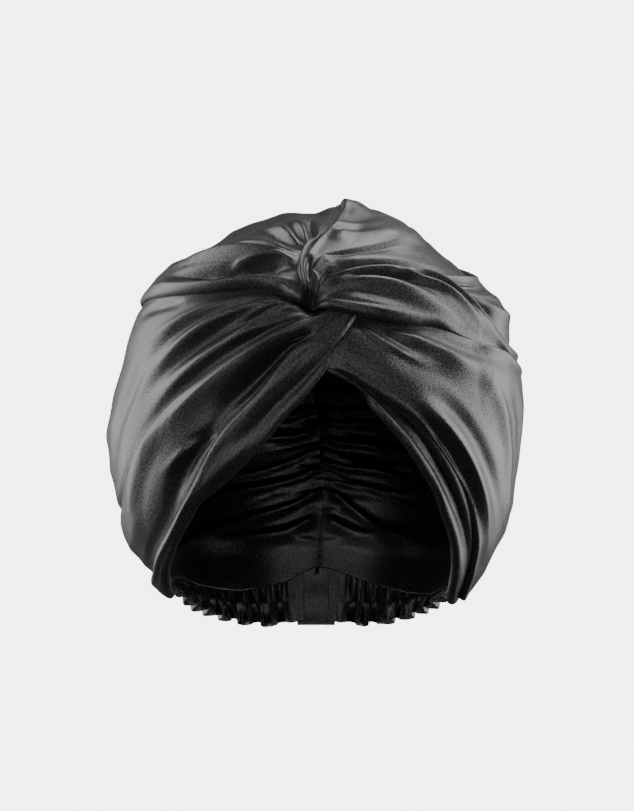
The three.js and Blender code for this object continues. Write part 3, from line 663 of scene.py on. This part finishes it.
def panel_object(name, depth_scale):
    """One panel of satin between its two edges, folded, lapped over its neighbours and walled."""
    panel = PANELS[name]
    stations, rows = panel["size"]
    share = np.linspace(0.0, 1.0, stations) ** 1.3
    top = edge_line(panel["top"], share)
    bottom = edge_line(panel["bottom"], share)
    width = np.maximum(spread(top, bottom), CLOTH_WALL)[:, None]
    size = (width, spread(top[:-1], top[1:]).sum())
    top_lap = value_at(panel["top_lap"], share)[:, None]
    bottom_lap = value_at(panel["bottom_lap"], share)[:, None]
    start = -tucked(top_lap, width)
    end = 1 + tucked(bottom_lap, width)
    if "roll" in panel:
        end = end - np.minimum(ROLL_RADIUS / width, 0.3)
    even = np.linspace(0.0, 1.0, rows)
    crowded = even - EDGE_CROWDING * np.sin(2.0 * np.pi * even)
    across = start + (end - start) * crowded[None, :]
    toward = unit(top[:, None] * (1 - across[..., None]) + bottom[:, None] * across[..., None])
    inside = np.clip(across, 0.0, 1.0)
    broad = np.maximum(width, LAP_WIDTH * 1.8)
    top_lift = lifted(top_lap, inside * width, broad)
    bottom_lift = lifted(bottom_lap, (1 - inside) * width, broad)
    lift = LAYER_STEP * np.maximum(top_lift, bottom_lift)
    relief = panel_relief(name, toward, across, share[:, None], size, (top_lap, bottom_lap), depth_scale)
    reach = form_reach(toward) + peak_rise(toward) + lift + relief + CLOTH_WALL
    outer = toward * reach[..., None] + HEAD_CENTRE
    side = "left" if "left" in name else "right"
    sign = SIGN[side]
    behind = (toward[..., 1] > 0.3) & (toward[..., 2] < 0.78)
    outer[..., 0] = np.where(behind, sign * np.maximum(sign * outer[..., 0], SEAM_GAP), outer[..., 0])
    outer = tucked_seam(outer, toward, *SEAM_TUCK[side])
    normals = grid_normals(outer, HEAD_CENTRE)
    if "roll" in panel:
        outer, normals = rolled(outer, normals, value_at(panel["roll"], share))
    return wall_object(name, outer, normals, CLOTH_WALL)


def rolled(outer, normals, amount, steps=16):
    """Carries the bottom edge of a band round and inwards."""
    edge = outer[:, -1]
    outward = normals[:, -1]
    beyond = edge - outer[:, -2]
    beyond = unit(beyond - np.sum(beyond * outward, axis=1, keepdims=True) * outward)
    rows, facing = [], []
    for k in range(1, steps + 1):
        turn = (math.radians(ROLL_ANGLE) * k / steps * amount)[:, None]
        inwards = outward * ROLL_RADIUS * (1 - np.cos(turn))
        rows.append(edge + beyond * ROLL_RADIUS * np.sin(turn) - inwards)
        facing.append(outward * np.cos(turn) + beyond * np.sin(turn))
    return (np.concatenate([outer, np.stack(rows, axis=1)], axis=1),
            np.concatenate([normals, np.stack(facing, axis=1)], axis=1))


# Lower edge of the lining on each side, as elevation at an azimuth
LINING_EDGE = {
    "left": (
        (0, 14.5), (1, 9.5), (5, 4.5), (9, -0.5), (18, -11), (27, -18.2), (34, -22.4), (45, -31.5),
        (53, -38.5), (60, -44), (66, -47.5), (77, -50), (90, -52), (125, -53.2), (150, -53),
        (168, -51.5), (180, -48.6)),
    "right": (
        (0, 15), (4, 14.5), (8, 11.5), (12, 8.5), (16, 4.5), (21, -0.5), (27, -8), (32, -15),
        (36, -22), (42, -29), (47, -34.5), (53, -41.5), (60, -47.5), (66, -50), (77, -53),
        (95, -56), (120, -56.4), (142, -54), (160, -51.5), (180, -48.6)),
}


# Where the lining's back seam wanders to, in millimetres to the right, at each elevation
SEAM_WANDER = (
    (-47, 1.0), (-40, 3.0), (-31, 4.5), (-10, 1.0), (2, -2.0), (14, -3.0), (40, -1.0), (60, 0.0))


# Large ruched folds of the lining: level at the back seam and drop along the fold, in degrees; height,
# thickness and reach from the seam, in millimetres
LINING_FOLDS = {
    "left": (
        (3, 1, 2.4, 4.5, 45), (-3, 3, 2.6, 4.0, 38), (-9, 2, 3.4, 4.5, 60), (-15, 4, 4.6, 5.5, 85),
        (-18.5, 3, 1.6, 1.9, 70), (-23, 3, 3.6, 3.6, 42), (-28, 12, 4.6, 5.0, 95),
        (-29.5, 1, 2.2, 1.9, 36), (-31.5, 4, 2.2, 1.9, 42), (-35, 11, 4.2, 5.0, 90),
        (-41, 6, 3.6, 7.0, 105)),
    "right": (
        (4, 1, 2.4, 4.5, 45), (-2, 2, 2.2, 4.0, 50), (-8, 1, 3.2, 4.5, 55), (-11, 1, 1.8, 1.9, 80),
        (-13, 2, 4.2, 5.0, 95), (-19, 2, 4.4, 4.5, 100), (-23, 3, 2.0, 1.9, 110),
        (-26, 7, 4.2, 4.5, 110), (-30, 3, 2.6, 2.0, 120), (-31.5, 8, 2.6, 2.0, 110),
        (-35, 12, 4.4, 6.0, 60), (-41, 7, 3.8, 8.0, 115)),
}


def ruching(azimuth, level, side):
    """Folds of the lining that are pinched at its back seam and droop away from it."""
    random = np.random.default_rng(7 if side == "left" else 11)
    away = np.radians(180.0 - azimuth) * MEAN_REACH * np.cos(np.radians(level))
    height = np.zeros_like(level)
    for start, drop, rise, thick, reach in LINING_FOLDS[side]:
        sway = 1.0 * np.sin(away / 13.0 + start)
        line = start + 2.0 * bell(away, 9.0) - drop * smoothstep(away, 4.0, reach * 1.1) + sway
        distance = np.radians(level - line) * MEAN_REACH
        spread_out = thick * (0.7 + 0.5 * smoothstep(away, 0.0, 60.0))
        height += rise * crest(distance, spread_out, 0.75) * bell(away, reach)
    at = -44.0
    while at < 66.0:
        rise = random.uniform(0.7, 1.8)
        reach = random.uniform(9.0, 30.0) if at < 6.0 else random.uniform(25.0, 60.0)
        slope = random.uniform(-3.0, 3.0)
        line = at + slope * smoothstep(away, 0.0, 30.0)
        distance = np.radians(level - line) * MEAN_REACH
        height += rise * crest(distance, random.uniform(2.2, 3.4) + away * 0.03, 0.6) * bell(away, reach)
        at += random.uniform(2.6, 4.6)
    return height * (0.3 + 0.7 * smoothstep(away, 0.0, 7.0))


# Grid of the lining: points round it and up it, and how closely they crowd towards the back and the hem
LINING_GRID = (140, 172)
LINING_CROWDING = (1.45, 1.35)
LINING_TOP = 88.0
HEM_WIDTH = 34.0


def hem_inset(spun):
    """How far the hem of the lining lies inside the outer cloth, at each azimuth."""
    at_nape = smoothstep(spun, 64.0, 82.0) * smoothstep(spun, 182.0, 172.0)
    return 1.65 + 5.6 * at_nape + 3.0 * smoothstep(spun, 172.0, 180.0)


def lining_object(side, depth):
    """One ruched half of the lining, from the edge of the opening to the back seam."""
    sign = SIGN[side]
    columns, rows = LINING_GRID
    azimuth = 180.0 * (1.0 - np.linspace(1.0, 0.0, columns) ** LINING_CROWDING[0])
    low = value_at(LINING_EDGE[side], azimuth)[:, None]
    steps = (np.linspace(0.0, 1.0, rows) ** LINING_CROWDING[1])[None, :]
    level = low + (LINING_TOP - low) * steps
    spun = np.broadcast_to(azimuth[:, None], level.shape)
    toward = direction(sign * spun, level)
    from_edge = np.radians(level - low) * MEAN_REACH
    hem = hem_inset(spun)
    inset = hem + (LINING_INSET - hem) * smoothstep(from_edge, 3.0, HEM_WIDTH)
    folds = ruching(spun, level, side) * smoothstep(from_edge, 0.0, 12.0)
    reach = form_reach(toward) - inset - LINING_WALL + 1.2 - depth * folds
    outer = toward * reach[..., None] + HEAD_CENTRE
    outer[..., 0] = sign * np.maximum(sign * outer[..., 0], 0.0) + sign * SEAM_GAP
    jitter = 0.7 * np.sin(level / 2.9) + value_at(SEAM_WANDER, level)
    outer[..., 0] += jitter * bell(outer[..., 0], 30.0) * smoothstep(toward[..., 1], 0.2, 0.6)
    if side == "right":
        outer = tucked_seam(outer, toward, *SEAM_TUCK["lining"])
    normals = -grid_normals(outer, HEAD_CENTRE)
    return wall_object(f"lining_{side}", outer, normals, LINING_WALL)


# Nape elastic and tab: levels in degrees, the rest in millimetres
NAPE_REACH = 161.0
NAPE_LEVEL = -48.5
NAPE_START = 75.8
NAPE_INSET = 2.6
NAPE_WALL = 1.2
NAPE_GRID = (420, 29)
CASING_HEIGHT = 17.0
RUFFLE_HEIGHT = 8.0
CASING_SHARE = 0.66
FULL_SHARE = 0.45
TAB_LEVEL = -46.6
TAB_WIDTH = 22.5
TAB_HEIGHT = 31.0
TAB_GRID = (30, 36)
TAB_OVERLAP = 7.6
NAPE_RADIUS = 95.6
TAB_END = 180.0 - math.degrees(TAB_OVERLAP / NAPE_RADIUS)


def tab_object():
    """Flat tab behind the ends of the nape elastic."""
    columns, rows = TAB_GRID
    across = (np.linspace(0.0, 1.0, columns) - 0.5) * TAB_WIDTH
    down = np.linspace(0.0, 1.0, rows)
    level = TAB_LEVEL - np.degrees(TAB_HEIGHT * down / NAPE_REACH)
    behind = direction(np.full(rows, 180.0), level)
    line = behind * (form_reach(behind) - 0.5)[:, None] + HEAD_CENTRE
    outer = np.repeat(line[None], columns, axis=0)
    outer[..., 0] = across[:, None] * (1.0 - 0.05 * down[None, :])
    crown = 0.2 * np.cos(across / TAB_WIDTH * math.pi)
    outer[..., 1] += crown[:, None] - 0.2 * np.sin(down * 13.0)[None, :]
    return wall_object("nape_tab", outer, grid_normals(outer, HEAD_CENTRE), CLOTH_WALL)


def strip_height(full):
    """Height of the nape strip, low at its ear end and full at the back."""
    return CASING_HEIGHT * (0.4 + 0.6 * full) + RUFFLE_HEIGHT * (0.5 + 0.5 * full)


def free_of_tab(share):
    return smoothstep(1.0 - share, 0.02, 0.1)


def elastic_base(side):
    """Plain nape strip, with the attributes that the fluting follows."""
    sign = SIGN[side]
    columns, rows = NAPE_GRID
    share = np.linspace(0.0, 1.0, columns)[:, None]
    full = smoothstep(share, 0.0, FULL_SHARE)
    down = np.linspace(-0.12, 1.0, rows)[None, :]
    level = NAPE_LEVEL - np.degrees(down * strip_height(full) / NAPE_REACH)
    azimuth = NAPE_START + (TAB_END - NAPE_START) * share
    toward = direction(sign * np.broadcast_to(azimuth, level.shape), level)
    casing = np.sin(np.clip(down / CASING_SHARE, 0, 1) * math.pi)
    ruffle = smoothstep(down, CASING_SHARE, 1.0)
    reach = form_reach(toward) - NAPE_INSET + (1.5 * casing * full + 1.2 * ruffle) * free_of_tab(share)
    outer = toward * reach[..., None] + HEAD_CENTRE
    obj = wall_object(f"nape_elastic_{side}", outer, grid_normals(outer, HEAD_CENTRE), NAPE_WALL)
    out = unit(vertex_places(obj.data) / MILLIMETRE - HEAD_CENTRE)
    turned = np.degrees(np.arctan2(sign * out[:, 0], -out[:, 1]))
    along = (turned - NAPE_START) / (TAB_END - NAPE_START)
    full = smoothstep(along, 0.0, FULL_SHARE)
    sunk = np.radians(NAPE_LEVEL - np.degrees(np.arcsin(out[:, 2]))) * NAPE_REACH
    fall = np.clip(sunk / strip_height(full), 0.0, 1.05)
    free = free_of_tab(along)
    values = {
        "along": along * math.radians(TAB_END - NAPE_START) * MEAN_REACH,
        "casing": np.sin(np.clip(fall / CASING_SHARE, 0, 1) * math.pi) ** 0.7 * free,
        "ruffle": smoothstep(fall, 0.62, 1.0) * (0.35 + 0.65 * full) * free,
    }
    for key, numbers in values.items():
        attribute = obj.data.attributes.new(key, "FLOAT", "POINT")
        attribute.data.foreach_set("value", numbers.astype(np.float32))
    attribute = obj.data.attributes.new("outward", "FLOAT_VECTOR", "POINT")
    level_out = unit(out * np.array([1.0, 1.0, 0.15]))
    attribute.data.foreach_set("vector", level_out.astype(np.float32).ravel())
    return obj


class Value:
    """An output of a node that takes part in Python sums."""

    def __init__(self, nodes, socket):
        self.nodes = nodes
        self.socket = socket

    def maths(self, operation, other=0.0):
        return self.nodes.add("ShaderNodeMath", (self, other), operation=operation)

    def __add__(self, other):
        return self.maths("ADD", other)

    def __sub__(self, other):
        return self.maths("SUBTRACT", other)

    def __mul__(self, other):
        return self.maths("MULTIPLY", other)

    def __truediv__(self, other):
        return self.maths("DIVIDE", other)


class Nodes:
    """Adds nodes to a tree and joins them up."""

    def __init__(self, tree):
        self.tree = tree

    def add(self, kind, values=(), output=0, **settings):
        node = self.tree.nodes.new(kind)
        for key, value in settings.items():
            setattr(node, key, value)
        self.fill(node, values if isinstance(values, dict) else dict(enumerate(values)))
        return Value(self, node.outputs[output])

    def fill(self, node, values):
        for key, value in values.items():
            self.put(node.inputs[key], value)

    def put(self, socket, value):
        if isinstance(value, Value):
            self.tree.links.new(value.socket, socket)
        else:
            socket.default_value = value

    def stored(self, name, kind="FLOAT"):
        return self.add("GeometryNodeInputNamedAttribute", (name,), data_type=kind)


# How the flutes wander, and the ruffle's sideways sway in metres
DRIFT_PACE = 0.05
DRIFT_TURN = 11.0
FINER_TURNS = 2.6
RUFFLE_SWAY = 0.0012


def fluting_tree(material):
    """Geometry nodes that gather a nape strip into uneven flutes and flare its ruffle."""
    tree = bpy.data.node_groups.new("nape fluting", "GeometryNodeTree")
    face = tree.interface
    face.new_socket("Geometry", in_out="INPUT", socket_type="NodeSocketGeometry")
    sockets = {}
    for key in ("Flute Pitch", "Casing Depth", "Ruffle Depth", "Seed"):
        sockets[key] = face.new_socket(key, in_out="INPUT", socket_type="NodeSocketFloat").identifier
    face.new_socket("Geometry", in_out="OUTPUT", socket_type="NodeSocketGeometry")
    nodes = Nodes(tree)
    given = {socket.name: Value(nodes, socket) for socket in tree.nodes.new("NodeGroupInput").outputs}
    along = nodes.stored("along")
    place = nodes.add("ShaderNodeCombineXYZ", (along * DRIFT_PACE, given["Seed"]))
    drift = nodes.add("ShaderNodeTexNoise", {"Vector": place, "Scale": 1.0}, noise_dimensions="2D")
    phase = along * (2.0 * math.pi) / given["Flute Pitch"] + drift * DRIFT_TURN
    wave = phase.maths("SINE")
    finer = (phase * FINER_TURNS).maths("SINE")
    casing = (wave + finer * 0.45) * given["Casing Depth"]
    ruffle = (wave + finer * 0.2) * given["Ruffle Depth"]
    swell = casing * nodes.stored("casing") + ruffle * nodes.stored("ruffle")
    outward = nodes.stored("outward", "FLOAT_VECTOR")
    offset = nodes.add("ShaderNodeVectorMath", {0: outward, "Scale": swell}, operation="SCALE")
    sway = (phase * 0.5).maths("SINE") * (nodes.stored("ruffle") * RUFFLE_SWAY)
    aside = nodes.add("ShaderNodeCombineXYZ", {2: sway})
    total = nodes.add("ShaderNodeVectorMath", (offset, aside), operation="ADD")
    moved = nodes.add("GeometryNodeSetPosition", {"Geometry": given["Geometry"], "Offset": total})
    painted = nodes.add("GeometryNodeSetMaterial", {"Geometry": moved, "Material": material})
    nodes.fill(tree.nodes.new("NodeGroupOutput"), {0: painted})
    return tree, sockets


def baked(obj):
    """Replaces an object's mesh by its evaluated one and drops the modifiers."""
    bpy.context.view_layer.update()
    evaluated = obj.evaluated_get(bpy.context.evaluated_depsgraph_get())
    mesh = bpy.data.meshes.new_from_object(evaluated)
    obj.modifiers.clear()
    mesh.name = obj.name
    obj.data = mesh


# Grain of the cloth: cells to a centimetre along it and across it
GRAIN = (8.0, 11.0, 1.0)
UNEVEN_SCALE = 28.0
DYE_RANGE = (0.55, 1.7)
BUMP_STRENGTH = 0.8


def new_material(name):
    material = bpy.data.materials.new(name)
    material.use_nodes = True
    return material, Nodes(material.node_tree), material.node_tree.nodes["Principled BSDF"]


def satin(name, colour, roughness, grain):
    """Black satin: a soft sheen, a fine woven grain and slight unevenness of dye and gloss."""
    material, nodes, shader = new_material(name)
    cloth = nodes.add("ShaderNodeUVMap", uv_map="cloth")
    woven = nodes.add("ShaderNodeMapping", {"Vector": cloth, "Scale": GRAIN})
    noise = {"Vector": woven, "Scale": 1.0, "Detail": 2.0, "Roughness": 0.7}
    fine = nodes.add("ShaderNodeTexNoise", noise, noise_dimensions="2D")
    place = nodes.add("ShaderNodeTexCoord", output=3)
    broad = nodes.add("ShaderNodeTexNoise", {"Vector": place, "Scale": UNEVEN_SCALE, "Detail": 2.0})
    deep, light = (tuple(channel * dyed for channel in colour[:3]) + (1.0,) for dyed in DYE_RANGE)
    mixed = {0: broad * 0.4 + fine * 0.6, 6: deep, 7: light}
    bump = {"Strength": BUMP_STRENGTH, "Distance": grain * MILLIMETRE, "Height": fine}
    nodes.fill(shader, {
        "Base Color": nodes.add("ShaderNodeMix", mixed, 2, data_type="RGBA"),
        "Roughness": (fine - 0.5) * 0.55 + (broad - 0.5) * 0.08 + roughness,
        "Specular IOR Level": (fine - 0.5) * 2.0 + 0.62,
        "Normal": nodes.add("ShaderNodeBump", bump),
        "Sheen Weight": 0.03,
        "Sheen Roughness": 0.35,
    })
    return material


# Sizes and colours that a user would change
SIZES = {
    "fold_depth": ("Height of every fold against its listed one", dict(default=1.35, min=0.0, max=1.5)),
    "ruche_depth": ("Height of the lining's ruches against the listed one", dict(default=1.0)),
    "flute_pitch": ("Spacing of the nape band's flutes, in millimetres", dict(default=9.5, min=4.0)),
    "casing_depth": ("Depth of the gathers over the elastic", dict(default=0.0013, unit="LENGTH")),
    "ruffle_depth": ("Depth of the ruffle's waves", dict(default=0.0029, unit="LENGTH")),
    "camera_distance": ("From the camera to the middle of the head", dict(default=1.5, unit="LENGTH")),
}
COLOURS = {
    "satin": ("Dye of the outer satin", dict(default=(0.009, 0.009, 0.0095, 1))),
    "lining": ("Dye of the lining", dict(default=(0.005, 0.005, 0.0055, 1))),
    "elastic": ("Dye of the nape band", dict(default=(0.005, 0.005, 0.0055, 1))),
    "floor": ("Colour of the studio floor and surround", dict(default=(0.9, 0.9, 0.82, 1))),
}


def properties(table, kind, **shared):
    """User properties for a table of descriptions and settings, labelled by their own names."""
    return {key: kind(name=key.replace("_", " ").title(), description=text, **settings, **shared)
            for key, (text, settings) in table.items()}


class TurbanSizes(bpy.types.PropertyGroup):
    """Sizes of the folds that a user would change."""

    __annotations__ = properties(SIZES, bpy.props.FloatProperty)


class TurbanColours(bpy.types.PropertyGroup):
    """Colours of the cloths and of the studio."""

    __annotations__ = properties(COLOURS, bpy.props.FloatVectorProperty, subtype="COLOR", size=4)


def dressed(obj, node, material):
    """Puts a finished piece in the scene, in place of its solid, and says what cloth it is cut from."""
    bpy.context.scene.collection.objects.link(obj)
    obj.data.materials.clear()
    obj.data.materials.append(material)
    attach(obj, BODY)
    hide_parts(node)


class BuildPanels(bpy.types.Operator):
    """Build the pleated satin panels, the rolled front bands and the twist"""

    bl_idname = "turban.panels"
    bl_label = "Panels"

    def execute(self, context):
        sizes = context.scene.turban_sizes
        cloth = satin("black satin", context.scene.turban_colours.satin, 0.4, 0.2)
        for name in PANELS:
            obj = panel_object(name, sizes.fold_depth)
            obj.name = f"satin_{name}"
            dressed(obj, name, cloth)
        return {"FINISHED"}


class BuildLining(bpy.types.Operator):
    """Build the two ruched halves of the lining"""

    bl_idname = "turban.lining"
    bl_label = "Lining"

    def execute(self, context):
        depth = context.scene.turban_sizes.ruche_depth
        cloth = satin("lining satin", context.scene.turban_colours.lining, 0.36, 0.18)
        for side in ("left", "right"):
            obj = lining_object(side, depth)
            obj.name = f"ruched_lining_{side}"
            dressed(obj, f"lining_{side}", cloth)
        return {"FINISHED"}


class BuildElastic(bpy.types.Operator):
    """Build the fluted nape elastic, its ruffle and the tab"""

    bl_idname = "turban.elastic"
    bl_label = "Nape Elastic"

    def execute(self, context):
        sizes = context.scene.turban_sizes
        cloth = satin("casing satin", context.scene.turban_colours.elastic, 0.4, 0.16)
        tree, sockets = fluting_tree(cloth)
        for seed, side in enumerate(("left", "right")):
            obj = elastic_base(side)
            obj.name = f"ruffled_elastic_{side}"
            bpy.context.scene.collection.objects.link(obj)
            modifier = obj.modifiers.new("fluting", "NODES")
            modifier.node_group = tree
            for key in ("Flute Pitch", "Casing Depth", "Ruffle Depth"):
                modifier[sockets[key]] = getattr(sizes, key.lower().replace(" ", "_"))
            modifier[sockets["Seed"]] = 3.0 + 5.0 * seed
            baked(obj)
            width, length, area = obj["flat"]
            obj["flat"] = [width, length * NAPE_GATHER, area * NAPE_GATHER]
            bpy.context.scene.collection.objects.unlink(obj)
            dressed(obj, f"nape_elastic_{side}", cloth)
        tab = tab_object()
        tab.name = "plain_nape_tab"
        dressed(tab, "nape_tab", cloth)
        return {"FINISHED"}


def area_light(name, place, target, size, energy):
    light = bpy.data.lights.new(name, "AREA")
    light.shape = "RECTANGLE"
    light.size, light.size_y = size
    light.energy = energy
    obj = bpy.data.objects.new(name, light)
    bpy.context.scene.collection.objects.link(obj)
    aim(obj, place, target)


def aim(obj, place, target):
    obj.location = place
    obj.rotation_euler = (Vector(target) - Vector(place)).to_track_quat("-Z", "Y").to_euler()


BACKDROP_STRENGTH = 6.0
AMBIENT_STRENGTH = 0.04
FLOOR_LEVEL = -0.75
LENS = 125.6
CAMERA_LIFT = 5.0
CAMERA_SHIFT = (0.0005, 0.0, -0.0029)

# Softboxes: place and size in metres, and power in watts
LIGHTS = {
    "left softbox": ((-1.35, 0.4, 0.1), (1.7, 1.9), 44.0),
    "right softbox": ((1.35, 0.3, 0.05), (1.7, 1.9), 50.0),
    "top softbox": ((0.55, 0.35, 1.35), (1.2, 0.9), 28.0),
    "front softbox": ((-0.75, -1.35, 0.75), (0.8, 0.8), 4.0),
    "low front softbox": ((-0.8, -1.55, -0.15), (0.5, 0.7), 5.0),
    "front fill": ((0.35, -1.8, 0.1), (0.5, 0.5), 4.0),
}


def build_backdrop(scene):
    """A pale surround that the camera sees bright, while it lights the cloth only faintly."""
    world = scene.world or bpy.data.worlds.new("studio")
    scene.world = world
    world.use_nodes = True
    nodes = Nodes(world.node_tree)
    colour = scene.turban_colours.floor
    plain = world.node_tree.nodes["Background"]
    nodes.fill(plain, {"Color": colour, "Strength": AMBIENT_STRENGTH})
    bright = nodes.add("ShaderNodeBackground", {"Color": colour, "Strength": BACKDROP_STRENGTH})
    seen_by_camera = nodes.add("ShaderNodeLightPath")
    mixed = nodes.add("ShaderNodeMixShader", (seen_by_camera, Value(nodes, plain.outputs[0]), bright))
    nodes.fill(world.node_tree.nodes["World Output"], {"Surface": mixed})


class BuildStage(bpy.types.Operator):
    """Set the pale floor, the soft lights and the camera"""

    bl_idname = "turban.stage"
    bl_label = "Stage"

    def execute(self, context):
        scene = context.scene
        centre = HEAD_CENTRE * MILLIMETRE
        bpy.ops.mesh.primitive_plane_add(size=16.0, location=(0.0, 0.0, FLOOR_LEVEL))
        floor = context.object
        floor.name = "studio_floor"
        paint, nodes, shader = new_material("studio floor")
        nodes.fill(shader, {
            "Base Color": (0.05, 0.05, 0.05, 1.0),
            "Roughness": 0.9,
            "Specular IOR Level": 0.0,
            "Emission Color": scene.turban_colours.floor,
            "Emission Strength": BACKDROP_STRENGTH,
        })
        floor.data.materials.append(paint)
        floor.visible_diffuse = False
        floor.visible_glossy = False
        build_backdrop(scene)
        for name, (place, size, power) in LIGHTS.items():
            area_light(name, place, tuple(centre), size, power)
        camera = bpy.data.cameras.new("camera")
        camera.lens = LENS
        camera.clip_end = 100.0
        view = bpy.data.objects.new("camera", camera)
        scene.collection.objects.link(view)
        lift = math.radians(CAMERA_LIFT)
        away = scene.turban_sizes.camera_distance
        target = centre + np.array(CAMERA_SHIFT)
        place = target + away * np.array([0.0, -math.cos(lift), math.sin(lift)])
        aim(view, tuple(place), tuple(target))
        scene.camera = view
        return {"FINISHED"}


class TurbanPanel(bpy.types.Panel):
    """Sidebar panel that lists the sizes, the colours and the steps"""

    bl_idname = "VIEW3D_PT_turban"
    bl_label = "Turban"
    bl_space_type = "VIEW_3D"
    bl_region_type = "UI"
    bl_category = "Turban"

    def draw(self, context):
        for group in (context.scene.turban_sizes, context.scene.turban_colours):
            for name in group.bl_rna.properties.keys():
                if name not in ("rna_type", "name"):
                    self.layout.prop(group, name)
        for step in STEPS:
            self.layout.operator(step.bl_idname)


STEPS = (BuildPanels, BuildLining, BuildElastic, BuildStage)
CLASSES = (TurbanSizes, TurbanColours) + STEPS + (TurbanPanel,)


def register():
    for cls in CLASSES:
        bpy.utils.register_class(cls)
    bpy.types.Scene.turban_sizes = bpy.props.PointerProperty(type=TurbanSizes)
    bpy.types.Scene.turban_colours = bpy.props.PointerProperty(type=TurbanColours)


def unregister():
    del bpy.types.Scene.turban_colours
    del bpy.types.Scene.turban_sizes
    for cls in reversed(CLASSES):
        bpy.utils.unregister_class(cls)


def main():
    register()
    bpy.ops.turban.panels()
    bpy.ops.turban.lining()
    bpy.ops.turban.elastic()
    bpy.ops.turban.stage()
    bpy.context.view_layer.update()


if __name__ == "__main__":
    main()
